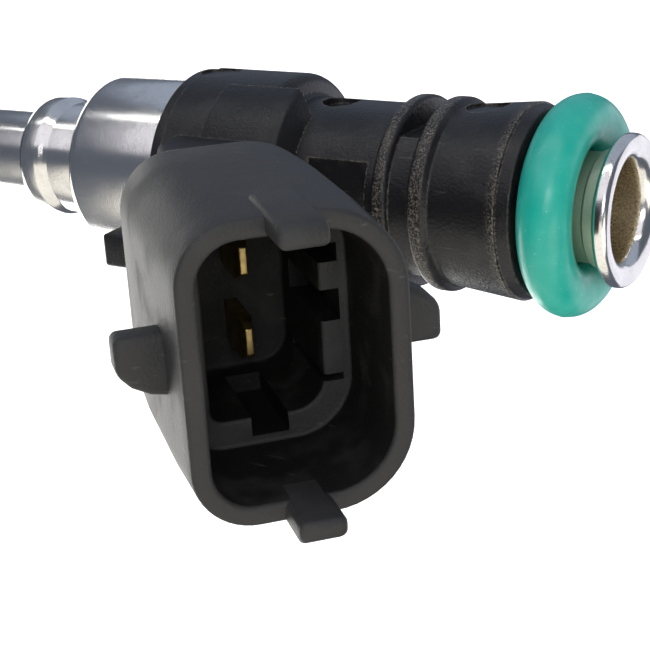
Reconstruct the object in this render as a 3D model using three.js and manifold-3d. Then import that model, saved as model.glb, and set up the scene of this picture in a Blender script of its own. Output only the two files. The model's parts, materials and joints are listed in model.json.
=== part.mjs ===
// Port fuel injector with a long inlet, a side connector and an extended tip.
// Millimetres. +Z runs up the injector's axis, from the nozzle to the fuel inlet.
// The origin is on the axis at the nozzle's lower face. The connector leans towards -Y.
import * as THREE from 'three';
import { mergeVertices } from 'three/addons/utils/BufferGeometryUtils.js';
import Module from 'manifold-3d';

const wasm = await Module();
wasm.setup();

// ---------------------------------------------------------------------------------------
// Driving dimensions
// ---------------------------------------------------------------------------------------

const FIT_GAP = 0.15; // radial clearance between two concentric pieces
const FACE_GAP = 0.25; // clearance between two faces that would touch
const ROUND = 32; // sides of a visible round piece
const INNER_ROUND = 24; // sides of a round piece inside

const RING_INNER_R = 3.76; // seal ring, as moulded
const RING_CORD_R = 1.765;
const RING_PITCH = 60.65; // lower seal ring to upper seal ring, along the axis
const LOWER_RING_Z = 8.2;
const UPPER_RING_Z = LOWER_RING_Z + RING_PITCH;

const INLET_TUBE_R = RING_INNER_R - FIT_GAP;
const INLET_WALL = 0.36;
const INLET_BORE_R = INLET_TUBE_R - INLET_WALL;
const INLET_NECK_R = INLET_TUBE_R + 0.24; // above the seal ring, under the flange
const FLANGE_R = INLET_NECK_R + 1.12;
const INLET_TOP_Z = UPPER_RING_Z + RING_CORD_R + 2.085;

const NECK_R = 5.91;
const RIB_HEIGHT = 0.67; // of the two ribs that hold the rail clip
const RIB_WIDTH = 1.15;
const RIB_R = NECK_R + RIB_HEIGHT;
const RIB_ROOT_R = NECK_R + 0.21;
const COLLAR_FOOT_Z = UPPER_RING_Z - 11.95;
const COLLAR_TOP_Z = UPPER_RING_Z - 8.15;
const BODY_TOP_Z = UPPER_RING_Z - RING_CORD_R - 0.285;

const HOUSING_R = 6.46;
const HOUSING_WALL = 0.65;
const HOUSING_FLOOR = 0.7;
const HOUSING_HEIGHT = 13.95;
const HOUSING_FOOT_Z = UPPER_RING_Z - 38.0;
const HOUSING_TOP_Z = HOUSING_FOOT_Z + HOUSING_HEIGHT;

const SHOULDER_WALL = 1.05; // of the moulded body over the housing
const SHOULDER_R = HOUSING_R + SHOULDER_WALL;
const SHOULDER_FOOT_Z = UPPER_RING_Z - 29.4;
const SHOULDER_TOP_Z = UPPER_RING_Z - 20.6;

const YOKE_THICKNESS = 1.45;
const BOBBIN_FOOT_Z = HOUSING_FOOT_Z + HOUSING_FLOOR + FACE_GAP;
const BOBBIN_TOP_Z = HOUSING_TOP_Z - YOKE_THICKNESS - 2 * FACE_GAP - 0.05;
const BOBBIN_FLANGE = 1.0;
const BOBBIN_WALL = 0.6;

const CAP_WALL = 0.21; // nozzle cap's wall under the lower ring
const CAP_FLOOR = 0.7;
const SLEEVE_R = RING_INNER_R - CAP_WALL - 2 * FIT_GAP;
const SLEEVE_WALL = 0.55;
const SLEEVE_BORE_R = SLEEVE_R - SLEEVE_WALL;
const SLEEVE_LAP_R = INLET_BORE_R - FIT_GAP; // where it enters the inlet tube
const SLEEVE_FOOT_Z = CAP_FLOOR + FACE_GAP;

const LIFT = 0.08; // travel of the needle
const POLE_FACE_Z = HOUSING_FOOT_Z + 10.45; // lower face of the inner pole
const POLE_HEIGHT = 13.2;
const SLEEVE_TOP_Z = POLE_FACE_Z - 0.3;
const INLET_TUBE_FOOT_Z = POLE_FACE_Z - 3.1;
const ARMATURE_TOP_Z = POLE_FACE_Z - LIFT - 0.02;
const ARMATURE_HEIGHT = 6.4;
const NEEDLE_R = 1.0;
const NEEDLE_WALL = 0.35;
const BALL_R = 1.5;
const BALL_Z = 3.75;
const ORIFICE_PLATE = 0.25;

const SPRING_MEAN_R = 1.05;
const SPRING_WIRE_R = 0.2;
const SPRING_R = SPRING_MEAN_R + SPRING_WIRE_R;
const SPRING_TURNS = 7;
const SPRING_SEAT = 2.5; // depth of the spring's seat in the armature
const SPRING_FOOT_Z = ARMATURE_TOP_Z - SPRING_SEAT;
const SPRING_TOP_Z = POLE_FACE_Z + 5.9;
const ADJUSTING_SLEEVE_LENGTH = 6.0;

const FILTER_TOP_Z = INLET_TOP_Z - 5.4;
const FILTER_FOOT_Z = FILTER_TOP_Z - 11.1;
const FILTER_RING_WALL = 0.55;
const FILTER_CAGE_WALL = 0.45;
const FILTER_CAGE_FOOT = 1.2;
const FILTER_RING_BORE_R = INLET_BORE_R - FIT_GAP - FILTER_RING_WALL;
const FILTER_CAGE_R = FILTER_RING_BORE_R - FIT_GAP;
const FILTER_CAGE_BORE_R = FILTER_CAGE_R - FILTER_CAGE_WALL;

const CONNECTOR_TILT = THREE.MathUtils.degToRad(42.2); // from the injector's axis
const CONNECTOR_REACH = 46.98; // from the injector's axis to the mouth, along the connector
const CONNECTOR_ROOT_Z = SHOULDER_FOOT_Z - 6.85; // where the two axes meet
const SHROUD_HALF_X = 8.06;
const SHROUD_HALF_Y = 5.9;
const SHROUD_CORNER_INLET = 4.5; // the two corners nearer the inlet
const SHROUD_CORNER_NOZZLE = 3.3;
const SHROUD_WALL = 1.06;
const SHROUD_LENGTH = 17.2;
const LEDGE_DEPTH = 7.6; // from the mouth to the step inside
const LEDGE_X = 1.65; // width of the step along the mouth's long side
const LEDGE_Y = 1.54;
const KEY_REACH = 1.1; // of the key slots, out from the pocket
const SOCKET_DEPTH = 15.6; // from the mouth to the socket's floor
const ARM_HALF_X = 4.2;

const BLADE_PITCH = 4.8;
const BLADE_WIDTH = 2.5;
const BLADE_THICKNESS = 0.8;
const BLADE_TIP_DEPTH = 11.2;
const BLADE_FOOT_Z = HOUSING_TOP_Z + 1.4;
const BLADE_ROOT = 5.2; // from the injector's axis to the blade's inner end

// ---------------------------------------------------------------------------------------
// Materials
// ---------------------------------------------------------------------------------------

function material(colour, roughness, metalness) {
  return new THREE.MeshStandardMaterial({ color: colour, roughness, metalness });
}

const finishes = {
  bodyPlastic: () => material(0x2b2c2f, 0.55, 0),
  capPlastic: () => material(0x26272a, 0.6, 0),
  bobbinPlastic: () => material(0xc9bfa4, 0.6, 0),
  filterPlastic: () => material(0xd8d4c8, 0.6, 0),
  sealRubber: () => material(0x2fae9e, 0.5, 0),
  drawnSteel: () => material(0xb9b7b0, 0.3, 1),
  magnetSteel: () => material(0x9d9c98, 0.35, 1),
  springSteel: () => material(0x8f9094, 0.3, 1),
  copper: () => material(0xb8703a, 0.4, 1),
  brass: () => material(0xb39a55, 0.35, 1),
};

// ---------------------------------------------------------------------------------------
// Geometry helpers
// ---------------------------------------------------------------------------------------

/** Merge shared vertices, drop collapsed triangles and make the faces point outwards. */
function closed(source) {
  const bare = source.clone();
  bare.deleteAttribute('normal');
  bare.deleteAttribute('uv');
  const merged = mergeVertices(bare, 1e-4);
  const position = merged.attributes.position;
  const corners = merged.index.array;
  const kept = [];
  let volume = 0;
  const a = new THREE.Vector3();
  const b = new THREE.Vector3();
  const c = new THREE.Vector3();
  for (let i = 0; i < corners.length; i += 3) {
    const [p, q, r] = [corners[i], corners[i + 1], corners[i + 2]];
    if (p === q || q === r || r === p) continue;
    a.fromBufferAttribute(position, p);
    b.fromBufferAttribute(position, q);
    c.fromBufferAttribute(position, r);
    volume += a.dot(b.cross(c));
    kept.push(p, q, r);
  }
  if (volume < 0) kept.reverse();
  merged.setIndex(kept);
  return merged;
}

/** Turn a closed geometry into a solid that can be joined and cut. */
function solid(geometry) {
  const clean = closed(geometry);
  return new wasm.Manifold(new wasm.Mesh({
    numProp: 3,
    vertProperties: new Float32Array(clean.attributes.position.array),
    triVerts: new Uint32Array(clean.index.array),
  }));
}

/** Turn a solid back into a geometry. */
function geometryOf(body) {
  const mesh = body.getMesh();
  const geometry = new THREE.BufferGeometry();
  geometry.setAttribute('position', new THREE.BufferAttribute(mesh.vertProperties, 3));
  geometry.setIndex(new THREE.BufferAttribute(mesh.triVerts, 1));
  return geometry;
}

function unite(parts) {
  return parts.reduce((whole, part) => whole.add(part));
}

function cut(body, tools) {
  return tools.reduce((rest, tool) => rest.subtract(tool), body);
}

/** A solid of revolution about Z. Its outline is a list of [radius, z]. */
function turned(outline, sides = ROUND) {
  const points = outline.map(([radius, z]) => new THREE.Vector2(radius, z));
  return new THREE.LatheGeometry(points, sides).rotateX(Math.PI / 2);
}

/** A plain ring between two radii and two heights. */
function ring(innerR, outerR, foot, top, sides = ROUND) {
  return turned([[innerR, foot], [outerR, foot], [outerR, top], [innerR, top], [innerR, foot]], sides);
}

/** A plain disc or bar about Z. */
function bar(radius, foot, top, sides = ROUND) {
  return turned([[0, foot], [radius, foot], [radius, top], [0, top]], sides);
}

/** Points of an arc in an outline, as [radius, z]. Angles are in degrees. */
function arc(centreR, centreZ, radius, from, to, steps = 6) {
  return Array.from({ length: steps + 1 }, (_, i) => {
    const angle = THREE.MathUtils.degToRad(from + ((to - from) * i) / steps);
    return [centreR + radius * Math.cos(angle), centreZ + radius * Math.sin(angle)];
  });
}

function box(x0, x1, y0, y1, z0, z1) {
  return new THREE.BoxGeometry(x1 - x0, y1 - y0, z1 - z0)
    .translate((x0 + x1) / 2, (y0 + y1) / 2, (z0 + z1) / 2);
}

/** A rounded rectangle. Its +Y corners and its -Y corners have radii of their own. */
function roundedRect(halfX, halfY, upper, lower = upper) {
  const shape = new THREE.Shape();
  const quarter = Math.PI / 2;
  shape.moveTo(halfX, -halfY + lower);
  shape.lineTo(halfX, halfY - upper);
  shape.absarc(halfX - upper, halfY - upper, upper, 0, quarter);
  shape.lineTo(-halfX + upper, halfY);
  shape.absarc(-halfX + upper, halfY - upper, upper, quarter, 2 * quarter);
  shape.lineTo(-halfX, -halfY + lower);
  shape.absarc(-halfX + lower, -halfY + lower, lower, 2 * quarter, 3 * quarter);
  shape.lineTo(halfX - lower, -halfY);
  shape.absarc(halfX - lower, -halfY + lower, lower, 3 * quarter, 4 * quarter);
  return shape;
}

function polygon(points) {
  return new THREE.Shape(points.map(([x, y]) => new THREE.Vector2(x, y)));
}

/** A prism along Z, from one height to another. */
function prism(shape, foot, top, curveSegments = 8) {
  return new THREE.ExtrudeGeometry(shape, { depth: top - foot, bevelEnabled: false, curveSegments })
    .translate(0, 0, foot);
}

/** A prism whose outline lies in the YZ plane and which is centred on X. */
function sideProfile(shape, width, bevel = 0) {
  const options = {
    depth: width - 2 * bevel,
    bevelEnabled: bevel > 0,
    bevelThickness: bevel,
    bevelSize: bevel,
    bevelOffset: -bevel,
    bevelSegments: 3,
    curveSegments: 8,
  };
  const turn = new THREE.Matrix4().makeBasis(
    new THREE.Vector3(0, 1, 0),
    new THREE.Vector3(0, 0, 1),
    new THREE.Vector3(1, 0, 0),
  );
  return new THREE.ExtrudeGeometry(shape, options)
    .translate(0, 0, bevel - width / 2)
    .applyMatrix4(turn);
}

/** Place a geometry drawn in the connector's own frame: mouth at z 0, +Z out of the mouth. */
function atConnector(geometry) {
  return geometry
    .translate(0, 0, CONNECTOR_REACH)
    .rotateX(CONNECTOR_TILT)
    .translate(0, 0, CONNECTOR_ROOT_Z);
}

/** A point on the connector's centre plane, given across (towards the inlet) and depth. */
function connectorPoint(across, depth) {
  const along = CONNECTOR_REACH - depth;
  return [
    across * Math.cos(CONNECTOR_TILT) - along * Math.sin(CONNECTOR_TILT),
    CONNECTOR_ROOT_Z + across * Math.sin(CONNECTOR_TILT) + along * Math.cos(CONNECTOR_TILT),
  ];
}

const injector = new THREE.Group();

/** Add one named piece to the injector. */
function addPiece(name, geometry, finish, parent = injector) {
  const mesh = new THREE.Mesh(closed(geometry), finish());
  mesh.geometry.computeVertexNormals();
  mesh.name = name;
  parent.add(mesh);
  return mesh;
}

// ---------------------------------------------------------------------------------------
// Terminals: two bent blades
// ---------------------------------------------------------------------------------------

/** Side outline of a blade, grown by `grow` all round. */
function bladeOutline(grow) {
  const half = BLADE_THICKNESS / 2 + grow;
  const bendDepth = CONNECTOR_REACH - (BLADE_FOOT_Z - CONNECTOR_ROOT_Z) / Math.cos(CONNECTOR_TILT);
  const turn = (Math.PI / 2 - CONNECTOR_TILT) / 2; // half of the bend
  const miter = half * Math.tan(turn);
  const footY = -BLADE_ROOT + grow;
  const tipDepth = BLADE_TIP_DEPTH - grow;
  const outer = connectorPoint(-half, bendDepth - miter);
  const inner = connectorPoint(half, bendDepth + miter);
  return polygon([
    connectorPoint(half, tipDepth),
    connectorPoint(-half, tipDepth),
    outer,
    [footY, outer[1]],
    [footY, inner[1]],
    inner,
  ]);
}

function blade(side, grow = 0) {
  return sideProfile(bladeOutline(grow), BLADE_WIDTH + 2 * grow)
    .translate((side * BLADE_PITCH) / 2, 0, 0);
}

// ---------------------------------------------------------------------------------------
// Moulded body with its connector
// ---------------------------------------------------------------------------------------

/** Outline of the turned part of the moulded body, from the shoulder to the cone on top. */
function bodyOutline() {
  const edge = 0.2; // chamfer of a rib
  const shoulderRound = 0.9;
  const coneR = RIB_R;
  const ribTop = COLLAR_FOOT_Z + RIB_WIDTH;
  const secondRibFoot = COLLAR_TOP_Z - RIB_WIDTH;
  return [
    [0, SHOULDER_FOOT_Z],
    [SHOULDER_R - 0.3, SHOULDER_FOOT_Z],
    [SHOULDER_R, SHOULDER_FOOT_Z + 0.3],
    ...arc(SHOULDER_R - shoulderRound, SHOULDER_TOP_Z - shoulderRound, shoulderRound, 0, 70, 4),
    [NECK_R + 0.35, SHOULDER_TOP_Z + 0.25],
    [NECK_R, SHOULDER_TOP_Z + 0.9],
    [NECK_R, COLLAR_FOOT_Z - 0.15],
    [RIB_R - edge, COLLAR_FOOT_Z],
    [RIB_R, COLLAR_FOOT_Z + edge],
    [RIB_R, ribTop - edge],
    [RIB_R - edge, ribTop],
    [RIB_ROOT_R, ribTop],
    [RIB_ROOT_R, secondRibFoot],
    [RIB_R - edge, secondRibFoot],
    [RIB_R, secondRibFoot + edge],
    [RIB_R, COLLAR_TOP_Z - edge],
    [RIB_R - edge, COLLAR_TOP_Z],
    [RIB_ROOT_R, COLLAR_TOP_Z + 0.35],
    [coneR, BODY_TOP_Z - 0.5],
    [coneR - 0.28, BODY_TOP_Z],
    [0, BODY_TOP_Z],
  ];
}

function shroud() {
  const shape = roundedRect(SHROUD_HALF_X, SHROUD_HALF_Y, SHROUD_CORNER_INLET, SHROUD_CORNER_NOZZLE);
  const rearRound = 1.6;
  const tube = prism(shape, -SHROUD_LENGTH + rearRound, 0, 7);
  const rear = new THREE.ExtrudeGeometry(shape, {
    depth: 0.5,
    bevelEnabled: true,
    bevelThickness: rearRound,
    bevelSize: rearRound,
    bevelOffset: -rearRound,
    bevelSegments: 3,
    curveSegments: 7,
  }).translate(0, 0, -SHROUD_LENGTH + rearRound);
  return [solid(atConnector(tube)), solid(atConnector(rear))];
}

/** The arm from the shroud's back to the body, with a small lug under one edge. */
function arm() {
  const inside = -NECK_R / 2; // well inside the body
  const armFoot = SHOULDER_FOOT_Z + 0.95;
  const armTop = SHOULDER_TOP_Z + 1.15;
  const backDepth = SHROUD_LENGTH - 1.5;
  const shape = polygon([
    [inside, armFoot],
    [-SHOULDER_R - 0.9, armFoot + 1],
    connectorPoint(1.4 - SHROUD_HALF_Y, backDepth),
    connectorPoint(SHROUD_HALF_Y - 1.2, backDepth),
    [-NECK_R - 1.1, armTop],
    [inside, armTop],
  ]);
  const lugEdgeX = ARM_HALF_X + 0.9;
  const lugWidth = 2.4;
  const lugRootY = -HOUSING_R - 0.55;
  const lugReachY = -HOUSING_R - 2.75;
  const lugFoot = SHOULDER_FOOT_Z - 3.15;
  const lug = sideProfile(polygon([
    [lugReachY, lugFoot + 0.4],
    [lugReachY + 0.4, lugFoot],
    [lugRootY, lugFoot],
    [lugRootY, armFoot + 3.1],
    [lugReachY, armFoot + 3.1],
  ]), lugWidth, 0.2).translate(lugEdgeX - lugWidth / 2, 0, 0);
  return [solid(sideProfile(shape, 2 * ARM_HALF_X, 0.7)), solid(lug)];
}

/** The block on the connector's side that carries the arm round the body. */
function saddle() {
  const foot = SHOULDER_FOOT_Z + 4.15;
  const top = SHOULDER_TOP_Z + 1.5;
  const drumR = SHOULDER_R + 0.14;
  const drum = solid(turned([
    [0, foot],
    [drumR, foot],
    [drumR, top - 0.5],
    [drumR - 0.55, top],
    [NECK_R, top + 0.9],
    [0, top + 0.9],
  ]));
  const reach = drumR + 1;
  return drum.intersect(solid(box(-reach, reach, -reach, -2.6, foot - 1, top + 2)));
}

/**
 * A lug on one broad side of the shroud, in the connector's frame. One edge is straight and
 * the other flares towards the shroud. The two lugs are half a turn apart.
 */
function sideLug(side) {
  const reach = SHROUD_HALF_Y + (side > 0 ? 3.3 : 2.65);
  const front = side > 0 ? 4.7 : 4.1; // depth of the lug's front face
  const root = SHROUD_HALF_Y - 0.5;
  const lug = solid(prism(polygon([
    [1.5, root],
    [1.5, reach - 0.15],
    [1.35, reach],
    [-0.45, reach],
    [-0.95, reach - 0.35],
    [-1.45, reach - 0.9],
    [-1.85, reach - 1.7],
    [-2.0, root],
  ]), -front - 1.9, -front));
  return side > 0 ? lug : lug.rotate([0, 0, 180]);
}

/** A tongue that carries the shroud's narrow wall forward of the rim. */
function tongue(side) {
  const outline = polygon([
    [SHROUD_HALF_X - SHROUD_WALL, -2],
    [SHROUD_HALF_X - SHROUD_WALL, 2.8],
    [SHROUD_HALF_X - 0.1, 2.8],
    [SHROUD_HALF_X + 0.25, 2.2],
    [SHROUD_HALF_X + 0.3, -3.2],
    [SHROUD_HALF_X - 0.3, -5.0],
    [SHROUD_HALF_X - SHROUD_WALL, -5.0],
  ]);
  const blank = sideProfile(outline, 2.5, 0.15).rotateZ(-Math.PI / 2);
  return solid(side > 0 ? blank : blank.rotateZ(Math.PI));
}

/** The socket: a wide mouth, a step, and a narrower keyed pocket behind it. */
function socket() {
  const pocketX = SHROUD_HALF_X - SHROUD_WALL - LEDGE_X;
  const pocketY = SHROUD_HALF_Y - SHROUD_WALL - LEDGE_Y;
  const keyEndY = pocketY + KEY_REACH;
  const mouth = prism(
    roundedRect(
      SHROUD_HALF_X - SHROUD_WALL,
      SHROUD_HALF_Y - SHROUD_WALL,
      SHROUD_CORNER_INLET - SHROUD_WALL,
      SHROUD_CORNER_NOZZLE - SHROUD_WALL,
    ),
    -LEDGE_DEPTH,
    4,
    7,
  );
  const pocket = prism(roundedRect(pocketX, pocketY, 1.9), -SOCKET_DEPTH, -LEDGE_DEPTH + 0.5);
  const key = (x0, x1, y0, y1) => box(x0, x1, y0, y1, -SOCKET_DEPTH + 1.5, -LEDGE_DEPTH + 0.5);
  return [
    mouth,
    pocket,
    key(pocketX - 0.35, pocketX + KEY_REACH, -1.05, 1.05),
    key(-pocketX - KEY_REACH, -pocketX + 0.35, -1.05, 1.05),
    key(-1.3, 0.5, pocketY - 0.3, keyEndY),
    key(-3.9, -2.85, pocketY - 0.3, keyEndY),
    key(3.6, 4.0, pocketY - 0.3, keyEndY),
  ];
}

/** A shallow round recess that a mould pin leaves on the -X side. */
function mouldPin(radius, centreZ, floorR) {
  return turned([[0, 0], [radius, 0], [radius, 1.5], [0, 1.5]], INNER_ROUND)
    .rotateY(-Math.PI / 2)
    .translate(-floorR, 0, centreZ);
}

function overmoldBody() {
  const lugs = [1, -1].flatMap((side) => [sideLug(side), tongue(side)])
    .map((part) => solid(atConnector(geometryOf(part))));
  const outside = unite([
    solid(turned(bodyOutline())),
    ...shroud(),
    ...arm(),
    saddle(),
    ...lugs,
  ]);
  const tubeBore = bar(INLET_TUBE_R + FIT_GAP, HOUSING_TOP_Z - 1, BODY_TOP_Z + 1);
  const pocketFoot = SHOULDER_FOOT_Z - 6;
  const housingPocket = bar(HOUSING_R + FIT_GAP, pocketFoot, HOUSING_TOP_Z + FIT_GAP);
  const ribTop = COLLAR_FOOT_Z + RIB_WIDTH;
  const clipSlot = (side) => box(NECK_R - 1.2, RIB_R + 1, -RIB_R, RIB_R, ribTop, COLLAR_TOP_Z - RIB_WIDTH)
    .rotateZ(side > 0 ? 0 : Math.PI);
  const neckPocket = box(-3.1, 3.1, -NECK_R - 1, -NECK_R + 0.9, SHOULDER_TOP_Z + 3.2, COLLAR_FOOT_Z - 0.75);
  const tools = [
    tubeBore,
    housingPocket,
    clipSlot(1),
    clipSlot(-1),
    neckPocket,
    ...socket().map((geometry) => atConnector(geometry)),
    blade(1, FIT_GAP),
    blade(-1, FIT_GAP),
    mouldPin(1.5, SHOULDER_FOOT_Z + 1.9, SHOULDER_R - 0.12),
    mouldPin(1.35, SHOULDER_TOP_Z + 3.1, NECK_R - 0.12),
    mouldPin(1.5, COLLAR_TOP_Z + 1.9, NECK_R + 0.2),
  ];
  return geometryOf(cut(outside, tools.map(solid)));
}

// ---------------------------------------------------------------------------------------
// Metal tubes and the magnetic circuit
// ---------------------------------------------------------------------------------------

function inletTube() {
  const lip = 0.45;
  const mouthRound = 0.8;
  const seatTop = UPPER_RING_Z + RING_CORD_R - 0.1;
  return turned([
    [INLET_BORE_R, INLET_TUBE_FOOT_Z],
    [INLET_TUBE_R, INLET_TUBE_FOOT_Z],
    [INLET_TUBE_R, seatTop],
    [INLET_NECK_R, seatTop + 0.15],
    [INLET_NECK_R, INLET_TOP_Z - 1.3],
    ...arc(FLANGE_R - lip, INLET_TOP_Z - lip, lip, -65, 90, 5),
    ...arc(INLET_BORE_R + mouthRound, INLET_TOP_Z - mouthRound, mouthRound, 90, 180, 4),
    [INLET_BORE_R, INLET_TUBE_FOOT_Z],
  ]);
}

function sealRing(z) {
  const centreR = RING_INNER_R + RING_CORD_R;
  return turned(arc(centreR, z, RING_CORD_R, -180, 180, 12), ROUND);
}

function magnetHousing() {
  const inner = HOUSING_R - HOUSING_WALL;
  const bore = SLEEVE_R + FIT_GAP;
  const corner = 0.9;
  const floor = HOUSING_FOOT_Z + HOUSING_FLOOR;
  return turned([
    [bore, HOUSING_FOOT_Z],
    ...arc(HOUSING_R - corner, HOUSING_FOOT_Z + corner, corner, -90, 0, 4),
    [HOUSING_R, HOUSING_TOP_Z],
    [inner, HOUSING_TOP_Z],
    [inner, floor],
    [bore, floor],
    [bore, HOUSING_FOOT_Z],
  ]);
}

/** Stepped collar under the housing. Its rounded bead is its lower end. */
function beadCollar() {
  const bore = SLEEVE_R + FIT_GAP;
  const tubeR = bore + 0.8;
  const beadR = bore + 1.2;
  const corner = 1.0;
  const top = HOUSING_FOOT_Z - FACE_GAP;
  const foot = top - 6.25;
  return turned([
    [bore, foot],
    ...arc(beadR - corner, foot + corner, corner, -80, 0, 4),
    [beadR, foot + 1.7],
    [beadR - 0.15, foot + 2.2],
    [tubeR, foot + 2.7],
    [tubeR, top],
    [bore, top],
    [bore, foot],
  ]);
}

/** The long valve tube. Its upper end is reduced to enter the inlet tube. */
function valveSleeve() {
  const lapFoot = INLET_TUBE_FOOT_Z - FACE_GAP;
  return turned([
    [SLEEVE_BORE_R, SLEEVE_FOOT_Z],
    [SLEEVE_R, SLEEVE_FOOT_Z],
    [SLEEVE_R, lapFoot],
    [SLEEVE_LAP_R, lapFoot],
    [SLEEVE_LAP_R, SLEEVE_TOP_Z],
    [SLEEVE_BORE_R, SLEEVE_TOP_Z],
    [SLEEVE_BORE_R, SLEEVE_FOOT_Z],
  ]);
}

function coilBobbin() {
  const bore = INLET_TUBE_R + FIT_GAP;
  const flange = HOUSING_R - HOUSING_WALL - FIT_GAP;
  return turned([
    [bore, BOBBIN_FOOT_Z],
    [flange, BOBBIN_FOOT_Z],
    [flange, BOBBIN_FOOT_Z + BOBBIN_FLANGE],
    [bore + BOBBIN_WALL, BOBBIN_FOOT_Z + BOBBIN_FLANGE],
    [bore + BOBBIN_WALL, BOBBIN_TOP_Z - BOBBIN_FLANGE],
    [flange, BOBBIN_TOP_Z - BOBBIN_FLANGE],
    [flange, BOBBIN_TOP_Z],
    [bore, BOBBIN_TOP_Z],
    [bore, BOBBIN_FOOT_Z],
  ], INNER_ROUND);
}

/** The winding: a ring whose outside shows the wire's turns. */
function coilWinding() {
  const inner = INLET_TUBE_R + 2 * FIT_GAP + BOBBIN_WALL;
  const outer = HOUSING_R - HOUSING_WALL - 0.35;
  const foot = BOBBIN_FOOT_Z + BOBBIN_FLANGE + FACE_GAP;
  const top = BOBBIN_TOP_Z - BOBBIN_FLANGE - FACE_GAP;
  const turns = 8;
  const pitch = (top - foot) / turns;
  const groove = 0.12;
  const outside = Array.from({ length: turns }, (_, i) => [
    [outer - groove, foot + i * pitch],
    [outer, foot + (i + 0.5) * pitch],
  ]).flat();
  return turned([[inner, foot], ...outside, [outer - groove, top], [inner, top], [inner, foot]], INNER_ROUND);
}

function yokeWasher() {
  const foot = BOBBIN_TOP_Z + FACE_GAP;
  const outer = HOUSING_R - HOUSING_WALL - FIT_GAP;
  return ring(INLET_TUBE_R + FIT_GAP, outer, foot, foot + YOKE_THICKNESS, INNER_ROUND);
}

const POLE_BORE_R = SPRING_R + FACE_GAP;

function innerPole() {
  const outer = INLET_BORE_R - FIT_GAP;
  return ring(POLE_BORE_R, outer, POLE_FACE_Z, POLE_FACE_Z + POLE_HEIGHT, INNER_ROUND);
}

/** The slit sleeve that sets the spring's load. The spring stands under it. */
function adjustingSleeve() {
  const foot = SPRING_TOP_Z + FIT_GAP;
  const bore = SPRING_MEAN_R - SPRING_WIRE_R;
  return ring(bore, POLE_BORE_R - FIT_GAP, foot, foot + ADJUSTING_SLEEVE_LENGTH, INNER_ROUND);
}

// ---------------------------------------------------------------------------------------
// The needle, its spring and the valve
// ---------------------------------------------------------------------------------------

function armature() {
  const foot = ARMATURE_TOP_Z - ARMATURE_HEIGHT;
  const outer = SLEEVE_BORE_R - FIT_GAP;
  const needleBore = NEEDLE_R + FIT_GAP;
  const springBore = SPRING_R + FIT_GAP;
  return turned([
    [needleBore, foot],
    [outer - 0.3, foot],
    [outer, foot + 0.3],
    [outer, ARMATURE_TOP_Z],
    [springBore, ARMATURE_TOP_Z],
    [springBore, SPRING_FOOT_Z - FIT_GAP],
    [needleBore, SPRING_FOOT_Z - FIT_GAP],
    [needleBore, foot],
  ], INNER_ROUND);
}

function needleTube() {
  return ring(NEEDLE_R - NEEDLE_WALL, NEEDLE_R, BALL_Z + BALL_R + 0.05, SPRING_FOOT_Z - 0.5, INNER_ROUND);
}

function valveBall() {
  return new THREE.SphereGeometry(BALL_R, 20, 12).rotateX(Math.PI / 2).translate(0, 0, BALL_Z);
}

/** A ring that keeps the ball central and lets the fuel past through lobes. */
function ballGuide() {
  const lobes = 5;
  const hole = new THREE.Path();
  const count = lobes * 8;
  const points = Array.from({ length: count }, (_, i) => {
    const angle = (2 * Math.PI * i) / count;
    const open = 0.5 - 0.5 * Math.cos(lobes * angle);
    const radius = BALL_R + 0.08 + 0.5 * open;
    return new THREE.Vector2(radius * Math.cos(angle), radius * Math.sin(angle));
  });
  hole.setFromPoints(points);
  const shape = new THREE.Shape();
  shape.absarc(0, 0, SLEEVE_BORE_R - FIT_GAP, 0, 2 * Math.PI);
  shape.holes.push(hole);
  return prism(shape, BALL_Z, BALL_Z + 1.6, 18);
}

/** The seat: a cone under the ball, down to the metering hole. */
function valveSeat() {
  const slope = THREE.MathUtils.degToRad(45);
  const holeR = 0.7;
  const touch = BALL_Z - BALL_R / Math.cos(slope) - 0.04; // apex of the cone, just clear of the ball
  const top = BALL_Z - FACE_GAP;
  const outer = SLEEVE_BORE_R - FIT_GAP;
  const foot = SLEEVE_FOOT_Z + 0.1 + ORIFICE_PLATE + FACE_GAP;
  return turned([
    [holeR, foot],
    [outer, foot],
    [outer, top],
    [Math.min(outer - 0.3, top - touch), top],
    [holeR, touch + holeR],
    [holeR, foot],
  ], INNER_ROUND);
}

function orificePlate() {
  const shape = new THREE.Shape();
  shape.absarc(0, 0, SLEEVE_BORE_R - FIT_GAP, 0, 2 * Math.PI);
  for (let i = 0; i < 4; i += 1) {
    const angle = Math.PI / 4 + (i * Math.PI) / 2;
    const hole = new THREE.Path();
    hole.absarc(0.4 * Math.cos(angle), 0.4 * Math.sin(angle), 0.13, 0, 2 * Math.PI);
    shape.holes.push(hole);
  }
  const foot = SLEEVE_FOOT_Z + 0.1;
  return prism(shape, foot, foot + ORIFICE_PLATE, 12);
}

function returnSpring() {
  const height = SPRING_TOP_Z - SPRING_FOOT_Z - 2 * SPRING_WIRE_R;
  class Helix extends THREE.Curve {
    getPoint(t, target = new THREE.Vector3()) {
      const angle = t * SPRING_TURNS * 2 * Math.PI;
      const z = SPRING_FOOT_Z + SPRING_WIRE_R + t * height;
      return target.set(SPRING_MEAN_R * Math.cos(angle), SPRING_MEAN_R * Math.sin(angle), z);
    }
  }
  const section = new THREE.Shape();
  section.absarc(0, 0, SPRING_WIRE_R, 0, 2 * Math.PI);
  return new THREE.ExtrudeGeometry(section, {
    steps: SPRING_TURNS * 12,
    extrudePath: new Helix(),
    curveSegments: 3,
  });
}

// ---------------------------------------------------------------------------------------
// Nozzle end
// ---------------------------------------------------------------------------------------

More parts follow.
